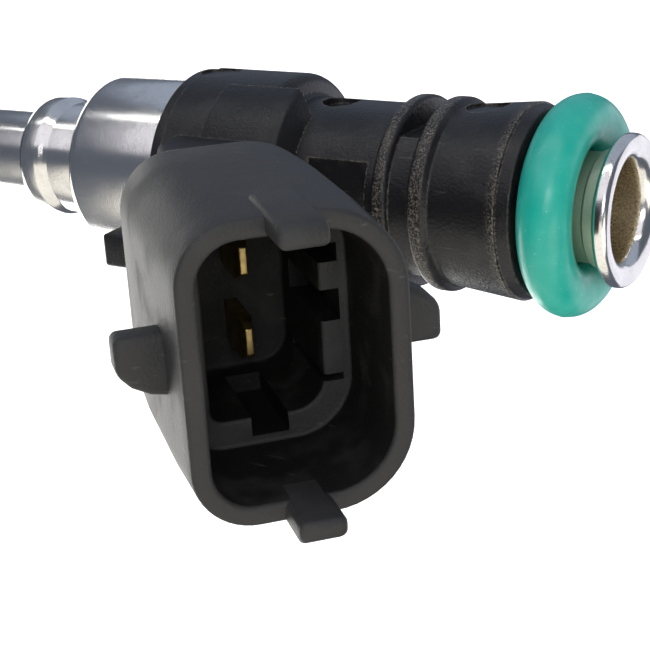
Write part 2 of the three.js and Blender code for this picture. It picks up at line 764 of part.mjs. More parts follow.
/** Plastic cap on the tip. Its upper part is the groove that the lower seal ring sits in. */
function nozzleCap() {
  const bore = SLEEVE_R + FIT_GAP;
  const noseR = bore + 1;
  const lipR = RING_INNER_R + 2.14;
  const holeR = SLEEVE_BORE_R - 0.4;
  const lip = LOWER_RING_Z - RING_CORD_R - FACE_GAP;
  const grooveTop = LOWER_RING_Z + RING_CORD_R - 0.2;
  const grooveR = RING_INNER_R - FIT_GAP;
  return turned([
    [holeR, 0],
    [noseR - 0.3, 0],
    [noseR, 0.3],
    [noseR, lip - 3.0],
    [lipR - 0.4, lip - 1.8],
    [lipR, lip - 1.3],
    [lipR, lip],
    [grooveR, lip],
    [grooveR, grooveTop],
    [bore, grooveTop],
    [bore, CAP_FLOOR],
    [holeR, CAP_FLOOR],
    [holeR, 0],
  ]);
}

/** The backing ring above the lower seal ring. */
function ringStop() {
  const bore = SLEEVE_R + FIT_GAP;
  const outer = RING_INNER_R + 2.54;
  const foot = LOWER_RING_Z + RING_CORD_R + FACE_GAP;
  return turned([
    [bore, foot],
    [outer, foot],
    [outer, foot + 1.6],
    [outer - 0.7, foot + 2.3],
    [bore + 0.7, foot + 2.7],
    [bore + 0.5, foot + 3.4],
    [bore, foot + 3.4],
    [bore, foot],
  ]);
}

// ---------------------------------------------------------------------------------------
// Inlet filter
// ---------------------------------------------------------------------------------------

function filterRing() {
  const outer = INLET_BORE_R - FIT_GAP;
  const foot = FILTER_TOP_Z - 2.6;
  return turned([
    [FILTER_RING_BORE_R, foot],
    [outer, foot],
    [outer, FILTER_TOP_Z - 0.3],
    [outer - 0.3, FILTER_TOP_Z],
    [FILTER_RING_BORE_R, FILTER_TOP_Z],
    [FILTER_RING_BORE_R, foot],
  ], INNER_ROUND);
}

/** A cage with three posts between its head ring and its closed foot. */
function filterCage() {
  const footTop = FILTER_FOOT_Z + FILTER_CAGE_FOOT;
  const head = ring(FILTER_CAGE_BORE_R, FILTER_CAGE_R, FILTER_TOP_Z - 3.4, FILTER_TOP_Z - 0.4, INNER_ROUND);
  const foot = bar(FILTER_CAGE_R, FILTER_FOOT_Z, footTop, INNER_ROUND);
  const posts = [0, 1, 2].map((i) => (
    box(FILTER_CAGE_BORE_R, FILTER_CAGE_R - 0.02, -0.35, 0.35, footTop - 0.7, FILTER_TOP_Z - 1)
      .rotateZ((i * 2 * Math.PI) / 3)
  ));
  return geometryOf(unite([head, foot, ...posts].map(solid)));
}

/** The mesh: a thin cup, open at the top, inside the cage. */
function filterMesh() {
  const outer = FILTER_CAGE_BORE_R - FIT_GAP;
  const wall = 0.2;
  const floor = FILTER_FOOT_Z + FILTER_CAGE_FOOT + FIT_GAP;
  const top = FILTER_TOP_Z - 0.8;
  return turned([
    [0, floor],
    [outer, floor],
    [outer, top],
    [outer - wall, top],
    [outer - wall, floor + wall],
    [0, floor + wall],
  ], INNER_ROUND);
}

// ---------------------------------------------------------------------------------------
// Assembly
// ---------------------------------------------------------------------------------------

addPiece('overmold_body', overmoldBody(), finishes.bodyPlastic);
addPiece('terminal_pin_a', blade(-1), finishes.brass);
addPiece('terminal_pin_b', blade(1), finishes.brass);

addPiece('inlet_tube', inletTube(), finishes.drawnSteel);
addPiece('upper_o_ring', sealRing(UPPER_RING_Z), finishes.sealRubber);
addPiece('filter_ring', filterRing(), finishes.brass);
addPiece('filter_cage', filterCage(), finishes.filterPlastic);
addPiece('filter_mesh', filterMesh(), finishes.springSteel);

addPiece('magnet_housing', magnetHousing(), finishes.drawnSteel);
addPiece('yoke_washer', yokeWasher(), finishes.magnetSteel);
addPiece('coil_bobbin', coilBobbin(), finishes.bobbinPlastic);
addPiece('coil_winding', coilWinding(), finishes.copper);
addPiece('inner_pole', innerPole(), finishes.magnetSteel);
addPiece('adjusting_sleeve', adjustingSleeve(), finishes.brass);
addPiece('return_spring', returnSpring(), finishes.springSteel);

const needle = new THREE.Group();
injector.add(needle);
addPiece('armature', armature(), finishes.magnetSteel, needle);
addPiece('needle_tube', needleTube(), finishes.drawnSteel, needle);
addPiece('valve_ball', valveBall(), finishes.springSteel, needle);

addPiece('valve_sleeve', valveSleeve(), finishes.drawnSteel);
addPiece('bead_collar', beadCollar(), finishes.drawnSteel);
addPiece('ball_guide', ballGuide(), finishes.magnetSteel);
addPiece('valve_seat', valveSeat(), finishes.magnetSteel);
addPiece('orifice_plate', orificePlate(), finishes.springSteel);
addPiece('ring_stop', ringStop(), finishes.capPlastic);
addPiece('lower_o_ring', sealRing(LOWER_RING_Z), finishes.sealRubber);
addPiece('nozzle_cap', nozzleCap(), finishes.capPlastic);

export default injector;
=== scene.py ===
"""Looks of a port fuel injector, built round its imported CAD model.

Each sub-assembly is a class. Its fields are its sizes in millimetres, and its methods model the
pieces, dress them and set them on their bodies. Pieces are modelled at one unit to the millimetre
and shrunk to metres when they are finished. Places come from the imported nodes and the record.
"""

from __future__ import annotations

import json
import logging
import math
from collections.abc import Callable, Sequence
from dataclasses import dataclass
from enum import Enum

import bmesh
import bpy
from mathutils import Matrix, Vector

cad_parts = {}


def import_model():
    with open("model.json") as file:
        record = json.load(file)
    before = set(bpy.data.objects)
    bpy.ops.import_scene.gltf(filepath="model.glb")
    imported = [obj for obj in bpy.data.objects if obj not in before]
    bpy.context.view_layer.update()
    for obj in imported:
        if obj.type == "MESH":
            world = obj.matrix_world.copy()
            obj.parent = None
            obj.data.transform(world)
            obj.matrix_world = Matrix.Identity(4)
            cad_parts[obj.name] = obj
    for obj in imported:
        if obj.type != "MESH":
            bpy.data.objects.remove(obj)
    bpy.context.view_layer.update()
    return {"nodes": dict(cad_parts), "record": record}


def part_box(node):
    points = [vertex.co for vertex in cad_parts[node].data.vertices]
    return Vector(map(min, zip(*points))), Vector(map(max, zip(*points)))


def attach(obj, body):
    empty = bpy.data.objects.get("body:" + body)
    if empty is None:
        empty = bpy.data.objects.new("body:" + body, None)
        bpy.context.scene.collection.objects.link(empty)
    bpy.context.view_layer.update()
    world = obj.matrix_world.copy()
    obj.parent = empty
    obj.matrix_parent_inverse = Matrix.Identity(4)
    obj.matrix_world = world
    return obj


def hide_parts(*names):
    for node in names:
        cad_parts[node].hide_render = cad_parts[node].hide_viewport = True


LOG = logging.getLogger("fuel_injector")
METRES = 0.001  # one millimetre
CLEARANCE = 0.15  # between two pieces that fit in each other
FACE_GAP = 0.25  # between two faces that meet

Corner = tuple[float, float, float]  # radius, height, rounding of that corner


class Joining(Enum):
    """How a boolean modifier combines two solids."""

    ADD = "UNION"
    CUT = "DIFFERENCE"


class Body(Enum):
    """The bodies that pieces ride on."""

    HOUSING = "housing"
    NEEDLE = "needle"


# ---------------------------------------------------------------------------------------
# Modelling moves
# ---------------------------------------------------------------------------------------


class Bench:
    """The modelling moves that every piece is made with, as done by hand in edit mode."""

    @staticmethod
    def deselect() -> None:
        """Leave edit mode and let go of every object."""
        if bpy.context.mode != "OBJECT":
            bpy.ops.object.mode_set(mode="OBJECT")
        bpy.ops.object.select_all(action="DESELECT")

    @staticmethod
    def take(obj: bpy.types.Object) -> None:
        """Select one object and make it the active one."""
        Bench.deselect()
        obj.select_set(True)
        bpy.context.view_layer.objects.active = obj

    @staticmethod
    def pick(obj: bpy.types.Object, test: Callable[[Vector], bool]) -> None:
        """Select the vertices of the mesh in edit mode whose place passes a test.

        Args:
            obj: The object that is in edit mode.
            test: Takes a vertex's place and says whether to select it.
        """
        bpy.ops.mesh.select_mode(type="VERT")
        bpy.ops.mesh.select_all(action="DESELECT")
        mesh = bmesh.from_edit_mesh(obj.data)
        for vertex in mesh.verts:
            vertex.select = test(vertex.co)
        mesh.select_flush(True)
        bmesh.update_edit_mesh(obj.data)

    @staticmethod
    def line(name: str, points: Sequence[Vector]) -> bpy.types.Object:
        """Draw a closed line of vertices and stay in edit mode.

        Args:
            name: The new object's name.
            points: The line's corners, in millimetres. The last joins the first.

        Returns:
            The new object, with the whole line selected.
        """
        Bench.deselect()
        bpy.ops.mesh.primitive_plane_add(size=1)
        obj = bpy.context.object
        obj.name = obj.data.name = name
        bpy.ops.object.mode_set(mode="EDIT")
        bpy.ops.mesh.select_mode(type="VERT")
        bpy.ops.mesh.select_all(action="SELECT")
        bpy.ops.mesh.merge(type="CENTER")
        bpy.ops.transform.translate(value=points[0])
        here = points[0]
        for point in [*points[1:], points[0]]:
            bpy.ops.mesh.extrude_vertices_move(TRANSFORM_OT_translate={"value": point - here})
            here = point
        bpy.ops.mesh.select_all(action="SELECT")
        bpy.ops.mesh.remove_doubles(threshold=1e-4)
        return obj

    @staticmethod
    def close(obj: bpy.types.Object, nearness: float = 1e-4) -> bpy.types.Object:
        """Merge doubles, turn the faces outwards and leave edit mode.

        Args:
            obj: The object that is in edit mode.
            nearness: The distance within which vertices merge, in millimetres.

        Returns:
            The same object.
        """
        bpy.ops.mesh.select_all(action="SELECT")
        bpy.ops.mesh.remove_doubles(threshold=nearness)
        bpy.ops.mesh.normals_make_consistent(inside=False)
        bpy.ops.object.mode_set(mode="OBJECT")
        return obj

    @staticmethod
    def turned(name: str, corners: Sequence[Corner], steps: int = 144) -> bpy.types.Object:
        """Spin a closed outline about the injector's axis.

        Args:
            name: The new object's name.
            corners: The outline, as radius, height and rounding of each corner.
            steps: How many faces go round.

        Returns:
            The turned ring.
        """
        obj = Bench.line(name, [Vector((r, 0, z)) for r, z in rounded(corners)])
        bpy.ops.mesh.spin(steps=steps, angle=2 * math.pi, center=(0, 0, 0), axis=(0, 0, 1))
        return Bench.close(obj)

    @staticmethod
    def slab(name: str, points: Sequence[Vector], thickness: Vector) -> bpy.types.Object:
        """Fill a closed line and extrude it.

        Args:
            name: The new object's name.
            points: The corners of one face.
            thickness: How far, and in which direction, the face is extruded.

        Returns:
            The slab.
        """
        obj = Bench.line(name, points)
        bpy.ops.mesh.edge_face_add()
        bpy.ops.mesh.extrude_region_move(TRANSFORM_OT_translate={"value": thickness})
        return Bench.close(obj)

    @staticmethod
    def block(name: str, low: Sequence[float], high: Sequence[float]) -> bpy.types.Object:
        """A cube between two corners, used as a cutter."""
        Bench.deselect()
        bpy.ops.mesh.primitive_cube_add(size=1)
        obj = bpy.context.object
        obj.name = name
        low, high = Vector(low), Vector(high)
        obj.matrix_world = Matrix.LocRotScale((low + high) / 2, None, high - low)
        bpy.ops.object.transform_apply()
        return obj

    @staticmethod
    def rod(name: str, radius: float, foot: Vector, top: Vector, sides: int) -> bpy.types.Object:
        """A cylinder between two points, used as a cutter or as the start of a piece."""
        Bench.deselect()
        length = (top - foot).length
        bpy.ops.mesh.primitive_cylinder_add(vertices=sides, radius=radius, depth=length)
        obj = bpy.context.object
        obj.name = name
        turn = (top - foot).to_track_quat("Z", "Y")
        obj.matrix_world = Matrix.LocRotScale((foot + top) / 2, turn, None)
        bpy.ops.object.transform_apply()
        return obj

    @staticmethod
    def place(obj: bpy.types.Object, matrix: Matrix) -> bpy.types.Object:
        """Move a mesh by a matrix and leave its object at the origin."""
        Bench.take(obj)
        obj.matrix_world = matrix
        bpy.ops.object.transform_apply()
        return obj

    @staticmethod
    def soften(obj: bpy.types.Object, width: float, segments: int = 3) -> bpy.types.Object:
        """Round the sharp edges of a finished block with an applied bevel."""
        Bench.take(obj)
        bevel = obj.modifiers.new("edge rounding", "BEVEL")
        bevel.width = width
        bevel.segments = segments
        bevel.limit_method = "ANGLE"
        bevel.angle_limit = math.radians(33)
        bpy.ops.object.modifier_apply(modifier=bevel.name)
        return obj

    @staticmethod
    def combine(base: bpy.types.Object, tool: bpy.types.Object, how: Joining) -> None:
        """Add a tool to a base or cut it out, and use the tool up."""
        Bench.take(base)
        modifier = base.modifiers.new("joining", "BOOLEAN")
        modifier.operation = how.value
        modifier.solver = "EXACT"
        modifier.object = tool
        bpy.ops.object.modifier_apply(modifier=modifier.name)
        bpy.data.objects.remove(tool, do_unlink=True)

    @staticmethod
    def clean(obj: bpy.types.Object) -> None:
        """Take away the slivers that booleans leave on a mesh."""
        sliver = 1e-3
        Bench.take(obj)
        bpy.ops.object.mode_set(mode="EDIT")
        bpy.ops.mesh.select_all(action="SELECT")
        bpy.ops.mesh.dissolve_degenerate(threshold=sliver)
        Bench.close(obj, sliver)

    @staticmethod
    def finish(obj: bpy.types.Object, smooth_angle: float = 32.0) -> bpy.types.Object:
        """Shrink a piece to metres and shade it smooth, save at its sharp edges."""
        Bench.place(obj, Matrix.Scale(METRES, 4))
        bpy.ops.object.shade_smooth_by_angle(angle=math.radians(smooth_angle))
        return obj


def rounded(corners: Sequence[Corner], arc_steps: int = 6) -> list[tuple[float, float]]:
    """Replace each corner of a closed outline with an arc of that corner's own radius.

    Args:
        corners: The outline, as radius, height and rounding.
        arc_steps: How many straight steps an arc has.

    Returns:
        The outline's points, as radius and height.
    """
    points: list[tuple[float, float]] = []
    for i, (radius, height, rounding) in enumerate(corners):
        here = Vector((radius, height))
        if rounding == 0:
            points.append((radius, height))
            continue
        back = (Vector(corners[i - 1][:2]) - here).normalized()
        onward = (Vector(corners[(i + 1) % len(corners)][:2]) - here).normalized()
        half = back.angle(onward) / 2
        centre = here + (back + onward).normalized() * (rounding / math.sin(half))
        start = here + back * (rounding / math.tan(half)) - centre
        end = here + onward * (rounding / math.tan(half)) - centre
        sweep = start.angle(end)
        for step in range(arc_steps + 1):
            share = step / arc_steps
            spoke = start * math.sin((1 - share) * sweep) + end * math.sin(share * sweep)
            points.append(tuple(centre + spoke / math.sin(sweep)))
    return points


# ---------------------------------------------------------------------------------------
# Finishes
# ---------------------------------------------------------------------------------------


def linear(colour: str) -> tuple[float, float, float, float]:
    """Turn an sRGB hex colour such as #2a2b2e into linear values with an alpha of 1."""
    channels = [int(colour[i : i + 2], 16) / 255 for i in (1, 3, 5)]
    curve = [c / 12.92 if c <= 0.04045 else ((c + 0.055) / 1.055) ** 2.4 for c in channels]
    return (*curve, 1.0)


def per_mm(size: float) -> float:
    """The texture scale at which a pattern repeats every so many millimetres."""
    return 1 / (size * METRES)


def add_node(
    tree: bpy.types.NodeTree,
    kind: str,
    settings: dict[str | int, object] | None = None,
    links: dict[str | int, bpy.types.NodeSocket] | None = None,
) -> bpy.types.Node:
    """Add a node, set its options and inputs, and link it.

    Args:
        tree: The material's node tree.
        kind: The node's type.
        settings: Options and input values by name or number.
        links: Output sockets of other nodes, by this node's input.

    Returns:
        The new node.
    """
    node = tree.nodes.new(kind)
    for key, value in (settings or {}).items():
        if isinstance(key, str) and hasattr(node, key):
            setattr(node, key, value)
        else:
            node.inputs[key].default_value = value
    for key, socket in (links or {}).items():
        tree.links.new(socket, node.inputs[key])
    return node


def mottle(
    tree: bpy.types.NodeTree,
    size: float,
    stretch: tuple[float, float, float] = (1, 1, 1),
    low: float = 0.35,
    high: float = 0.65,
    detail: float = 2.0,
) -> bpy.types.NodeSocket:
    """A random pattern from 0 to 1 over the object's own coordinates.

    Args:
        tree: The material's node tree.
        size: The pattern's usual spot, in millimetres.
        stretch: How much finer the pattern is along X, Y and Z.
        low: The noise level that becomes 0.
        high: The noise level that becomes 1.
        detail: How many finer layers the pattern has.

    Returns:
        The pattern's output.
    """
    place = add_node(tree, "ShaderNodeTexCoord")
    spread = add_node(
        tree, "ShaderNodeMapping", {"Scale": stretch}, {"Vector": place.outputs["Object"]}
    )
    noise = add_node(
        tree,
        "ShaderNodeTexNoise",
        {"Scale": per_mm(size), "Detail": detail},
        {"Vector": spread.outputs["Vector"]},
    )
    level = add_node(
        tree, "ShaderNodeMapRange", {"From Min": low, "From Max": high}, {"Value": noise.outputs[0]}
    )
    return level.outputs["Result"]


def between(
    tree: bpy.types.NodeTree, share: bpy.types.NodeSocket, low: float, high: float
) -> bpy.types.NodeSocket:
    """A value that runs from one number to another as a pattern goes from 0 to 1."""
    level = add_node(tree, "ShaderNodeMapRange", {"To Min": low, "To Max": high}, {"Value": share})
    return level.outputs["Result"]


def tinted(
    tree: bpy.types.NodeTree,
    share: bpy.types.NodeSocket,
    low: str | bpy.types.NodeSocket,
    high: str,
) -> bpy.types.NodeSocket:
    """A colour that runs from one tone to another as a pattern goes from 0 to 1.

    Args:
        tree: The material's node tree.
        share: The pattern.
        low: The tone at 0, as a hex colour or as another node's output.
        high: The tone at 1, as a hex colour.

    Returns:
        The mixed colour's output.
    """
    settings: dict[str | int, object] = {"data_type": "RGBA", 7: linear(high)}
    links: dict[str | int, bpy.types.NodeSocket] = {0: share}
    if isinstance(low, str):
        settings[6] = linear(low)
    else:
        links[6] = low
    return add_node(tree, "ShaderNodeMix", settings, links).outputs[2]


def relief(
    tree: bpy.types.NodeTree,
    height: bpy.types.NodeSocket,
    depth: float,
    strength: float,
    under: bpy.types.NodeSocket | None = None,
) -> bpy.types.NodeSocket:
    """A bumped normal.

    Args:
        tree: The material's node tree.
        height: The pattern that is raised.
        depth: The height at a full pattern, in millimetres.
        strength: How much of the relief shows, from 0 to 1.
        under: A normal that already has a relief of its own.

    Returns:
        The normal's output.
    """
    links: dict[str | int, bpy.types.NodeSocket] = {"Height": height}
    if under is not None:
        links["Normal"] = under
    settings = {"Strength": strength, "Distance": depth * METRES}
    return add_node(tree, "ShaderNodeBump", settings, links).outputs["Normal"]


def edge_highlight_mask(tree: bpy.types.NodeTree, width: float) -> bpy.types.NodeSocket:
    """A mask that is 1 on edges and 0 on open surfaces, where edge highlights are painted.

    Args:
        tree: The material's node tree.
        width: How far the painted highlight reaches from an edge, in millimetres.

    Returns:
        The mask's output.
    """
    soft = add_node(tree, "ShaderNodeBevel", {"samples": 4, "Radius": width * METRES})
    plain = add_node(tree, "ShaderNodeNewGeometry")
    same = add_node(
        tree,
        "ShaderNodeVectorMath",
        {"operation": "DOT_PRODUCT"},
        {0: soft.outputs["Normal"], 1: plain.outputs["Normal"]},
    )
    level = add_node(
        tree,
        "ShaderNodeMapRange",
        {"From Min": 0.995, "From Max": 0.93},
        {"Value": same.outputs["Value"]},
    )
    return level.outputs["Result"]


@dataclass(frozen=True)
class Finish:
    """One real material and how its surface was made."""

    name: str
    slot: str
    colour: str
    roughness: float
    metallic: float = 0.0
    ior: float = 1.5
    sheen: float = 0.5  # how much of the mirror reflection the surface keeps

    def make(self) -> bpy.types.Material:
        """Build the material.

        Returns:
            The new material.
        """
        material = bpy.data.materials.new(self.name)
        material.use_nodes = True
        material.diffuse_color = linear(self.colour)
        tree = material.node_tree
        shader = tree.nodes["Principled BSDF"]
        shader.inputs["Base Color"].default_value = linear(self.colour)
        shader.inputs["Roughness"].default_value = self.roughness
        shader.inputs["Metallic"].default_value = self.metallic
        shader.inputs["IOR"].default_value = self.ior
        shader.inputs["Specular IOR Level"].default_value = self.sheen
        self.dress(tree, shader)
        return material

    def dress(self, tree: bpy.types.NodeTree, shader: bpy.types.Node) -> None:
        """Link the patterns of the finish to the shader."""
        raise NotImplementedError


@dataclass(frozen=True)
class GlassFilledNylon(Finish):
    """Injection-moulded nylon with glass fibre.

    The barrel is darker and smoother; the connector is painted a lighter grey and made rougher.
    Fibres make a fine speckle, and edges and rib crowns carry painted highlights.
    """

    matt_colour: str = "#2c2c2c"
    edge_highlight_colour: str = "#b3a997"
    matt_from: float = -10.5  # Y at which the darker, smoother barrel starts to change
    matt_to: float = -15.0  # Y from which the connector has its full lighter colour and roughness
    crown_r: float = 6.56  # painted highlights on the clip ribs and the barrel's end start at this radius
    crown_from: float = 56.5  # and from this height up

    def dress(self, tree: bpy.types.NodeTree, shader: bpy.types.Node) -> None:
        """Link the fibre speckle, the lighter connector, scuffs, scratches and painted highlights on
        edges and rib crowns.
        """
        place = add_node(tree, "ShaderNodeTexCoord")
        axes = add_node(tree, "ShaderNodeSeparateXYZ", None, {0: place.outputs["Object"]})
        matt = add_node(
            tree,
            "ShaderNodeMapRange",
            {"From Min": self.matt_from * METRES, "From Max": self.matt_to * METRES},
            {"Value": axes.outputs["Y"]},
        ).outputs["Result"]
        fibre = mottle(tree, 0.2, low=0.4, high=0.64)  # real grit is finer than can show
        scuff = mottle(tree, 2.6, low=0.52, high=0.72, detail=5)
        scratch = mottle(tree, 1.9, stretch=(7, 3, 0.5), low=0.69, high=0.75)
        # the connector is painted a lighter grey than the barrel, changing along Y
        colour = tinted(tree, matt, self.colour, self.matt_colour)
        faint = between(tree, scuff, 0.0, 0.14)
        colour = tinted(tree, faint, colour, "#5d5c5a")
        colour = tinted(tree, between(tree, scratch, 0.0, 0.16), colour, "#77756f")
        # painted highlight: a speckled light tone on bevelled edges, kept to the barrel
        edge_highlight = add_node(
            tree,
            "ShaderNodeMath",
            {"operation": "MULTIPLY", "use_clamp": True},
            {0: edge_highlight_mask(tree, 0.16), 1: mottle(tree, 0.2, low=0.42, high=0.66)},
        ).outputs[0]
        barrel_edge_highlight = add_node(
            tree,
            "ShaderNodeMath",
            {"operation": "MULTIPLY"},
            {0: edge_highlight, 1: between(tree, matt, 0.42, 0.0)},
        ).outputs[0]
        colour = tinted(tree, barrel_edge_highlight, colour, self.edge_highlight_colour)
        # painted highlight: a speckled light tone on the crowns of the clip ribs and on the barrel's
        # end
        crowns = add_node(
            tree,
            "ShaderNodeMath",
            {"operation": "MULTIPLY"},
            {0: self.crown_highlight_mask(tree, place, axes), 1: between(tree, matt, 1.0, 0.0)},
        ).outputs[0]
        colour = tinted(tree, crowns, colour, self.edge_highlight_colour)
        tree.links.new(colour, shader.inputs["Base Color"])
        rough = add_node(
            tree,
            "ShaderNodeMapRange",
            {"To Min": self.roughness, "To Max": self.roughness + 0.2},
            {"Value": matt},
        ).outputs["Result"]
        uneven = add_node(
            tree,
            "ShaderNodeMath",
            {"operation": "ADD", "use_clamp": True},
            {0: rough, 1: between(tree, scuff, 0.0, 0.12)},
        ).outputs[0]
        tree.links.new(uneven, shader.inputs["Roughness"])
        normal = relief(tree, fibre, 0.02, 0.55)
        normal = relief(tree, mottle(tree, 1.1), 0.02, 0.25, normal)
        tree.links.new(normal, shader.inputs["Normal"])


    def crown_highlight_mask(
        self, tree: bpy.types.NodeTree, place: bpy.types.Node, axes: bpy.types.Node
    ) -> bpy.types.NodeSocket:
        """A speckled mask for painted highlights on the crowns of the clip ribs and on the barrel's
        end.

        Args:
            tree: The material's node tree.
            place: The node that gives the object's coordinates.
            axes: The same coordinates, taken apart.

        Returns:
            The mask's output.
        """
        level = add_node(
            tree,
            "ShaderNodeVectorMath",
            {"operation": "MULTIPLY", 1: (1, 1, 0)},
            {0: place.outputs["Object"]},
        )
        radius = add_node(
            tree, "ShaderNodeVectorMath", {"operation": "LENGTH"}, {0: level.outputs["Vector"]}
        )
        low, high = (self.crown_r - 0.05) * METRES, (self.crown_r + 0.01) * METRES
        outer = add_node(
            tree,
            "ShaderNodeMapRange",
            {"From Min": low, "From Max": high, "To Max": 0.36},
            {"Value": radius.outputs["Value"]},
        )
        upper = add_node(
            tree,
            "ShaderNodeMapRange",
            {"From Min": self.crown_from * METRES, "From Max": (self.crown_from + 0.3) * METRES},
            {"Value": axes.outputs["Z"]},
        )
        mask = add_node(
            tree,
            "ShaderNodeMath",
            {"operation": "MULTIPLY"},
            {0: outer.outputs["Result"], 1: upper.outputs["Result"]},
        )
        speckle = mottle(tree, 0.13, low=0.46, high=0.72, detail=3)
        return add_node(
            tree,
            "ShaderNodeMath",
            {"operation": "MULTIPLY"},
            {0: mask.outputs[0], 1: speckle},
        ).outputs[0]


@dataclass(frozen=True)
class MouldedPlastic(Finish):
    """Plain moulded plastic with a faint grain, for the small parts."""

    def dress(self, tree: bpy.types.NodeTree, shader: bpy.types.Node) -> None:
        """Link a fine grain and a slow change of tone."""
        tone = between(tree, mottle(tree, 3.0), 0.0, 0.18)
        tree.links.new(tinted(tree, tone, self.colour, "#6d6b66"), shader.inputs["Base Color"])
        tree.links.new(relief(tree, mottle(tree, 0.18), 0.012, 0.5), shader.inputs["Normal"])


@dataclass(frozen=True)
class TurnedSteel(Finish):
    """Bright stainless steel, drawn and turned.

    Fine rings run round the axis, with a few deeper ones, and the skin has small dull patches.
    """

    dull_colour: str = "#8c8b88"
    ring_pitch: float = 0.07
    ring_depth: float = 0.0016

    def dress(self, tree: bpy.types.NodeTree, shader: bpy.types.Node) -> None:
        """Link the turning rings, dull patches and specks to the shader."""
        rings = mottle(tree, self.ring_pitch * 14, stretch=(0.5, 0.5, 14), detail=3)
        specks = mottle(tree, 0.14, low=0.5, high=0.7)
        patches = mottle(tree, 2.2, low=0.45, high=0.75, detail=4)
        dull = between(tree, patches, 0.0, 0.22)
        colour = tinted(tree, dull, self.colour, self.dull_colour)
        colour = tinted(tree, between(tree, specks, 0.0, 0.12), colour, "#7b7872")
        tree.links.new(colour, shader.inputs["Base Color"])
        rough = add_node(
            tree,
            "ShaderNodeMath",
            {"operation": "ADD"},
            {
                0: between(tree, patches, self.roughness - 0.02, self.roughness + 0.04),
                1: between(tree, specks, 0.0, 0.05),
            },
        ).outputs[0]
        tree.links.new(rough, shader.inputs["Roughness"])
        normal = relief(tree, rings, self.ring_depth, 0.6)
        normal = relief(tree, specks, 0.002, 0.35, normal)
        tree.links.new(normal, shader.inputs["Normal"])


@dataclass(frozen=True)
class StainedSteel(Finish):
    """Steel inside the inlet, where fuel has left a grainy golden-brown stain."""

    stain_colour: str = "#76664a"

    def dress(self, tree: bpy.types.NodeTree, shader: bpy.types.Node) -> None:
        """Link the grainy stain and a rough grain."""
        grain = mottle(tree, 0.13, low=0.3, high=0.7, detail=3)
        stain = tinted(tree, grain, self.stain_colour, self.colour)
        tree.links.new(stain, shader.inputs["Base Color"])
        rough = between(tree, grain, self.roughness + 0.2, self.roughness)
        tree.links.new(rough, shader.inputs["Roughness"])
        tree.links.new(relief(tree, grain, 0.012, 0.5), shader.inputs["Normal"])


@dataclass(frozen=True)
class FluoroRubber(Finish):
    """Moulded fluoro rubber: even teal, satin, with a bloom that lightens it in places."""

    bloom_colour: str = "#4dbbaa"

    def dress(self, tree: bpy.types.NodeTree, shader: bpy.types.Node) -> None:
        """Link the bloom, dust specks and the moulded skin."""
        bloom = between(tree, mottle(tree, 1.6, low=0.35, high=0.7, detail=5), 0.0, 0.4)
        colour = tinted(tree, bloom, self.colour, self.bloom_colour)
        dust = between(tree, mottle(tree, 0.22, low=0.68, high=0.76), 0.0, 0.35)
        tree.links.new(tinted(tree, dust, colour, "#a9d8d0"), shader.inputs["Base Color"])
        rough = between(tree, mottle(tree, 0.9), self.roughness - 0.05, self.roughness + 0.07)
        tree.links.new(rough, shader.inputs["Roughness"])
        tree.links.new(relief(tree, mottle(tree, 0.2), 0.008, 0.4), shader.inputs["Normal"])
        shader.inputs["Subsurface Weight"].default_value = 0.08
        shader.inputs["Subsurface Scale"].default_value = 0.6 * METRES


@dataclass(frozen=True)
class StampedMetal(Finish):
    """Brass, copper or spring steel with a soft oxide stain and fine marks along one axis."""

    stain_colour: str = "#5a4a2a"
    marks: tuple[float, float, float] = (1, 1, 8)

    def dress(self, tree: bpy.types.NodeTree, shader: bpy.types.Node) -> None:
        """Link the stain and the marks."""
        stain = between(tree, mottle(tree, 0.9, low=0.4, high=0.75, detail=4), 0.0, 0.6)
        tree.links.new(
            tinted(tree, stain, self.colour, self.stain_colour), shader.inputs["Base Color"]
        )
        rough = between(tree, mottle(tree, 0.5), self.roughness - 0.06, self.roughness + 0.1)
        tree.links.new(rough, shader.inputs["Roughness"])
        marks = mottle(tree, 0.5, stretch=self.marks)
        tree.links.new(relief(tree, marks, 0.003, 0.5), shader.inputs["Normal"])


@dataclass(frozen=True)
class StudioPaper(Finish):
    """White paper under the part: pale, without a pattern, and evenly bright by its own glow."""

    glow: float = 0.72

    def dress(self, tree: bpy.types.NodeTree, shader: bpy.types.Node) -> None:
        """Give the paper its glow."""
        shader.inputs["Emission Color"].default_value = linear("#ffffff")
        shader.inputs["Emission Strength"].default_value = self.glow


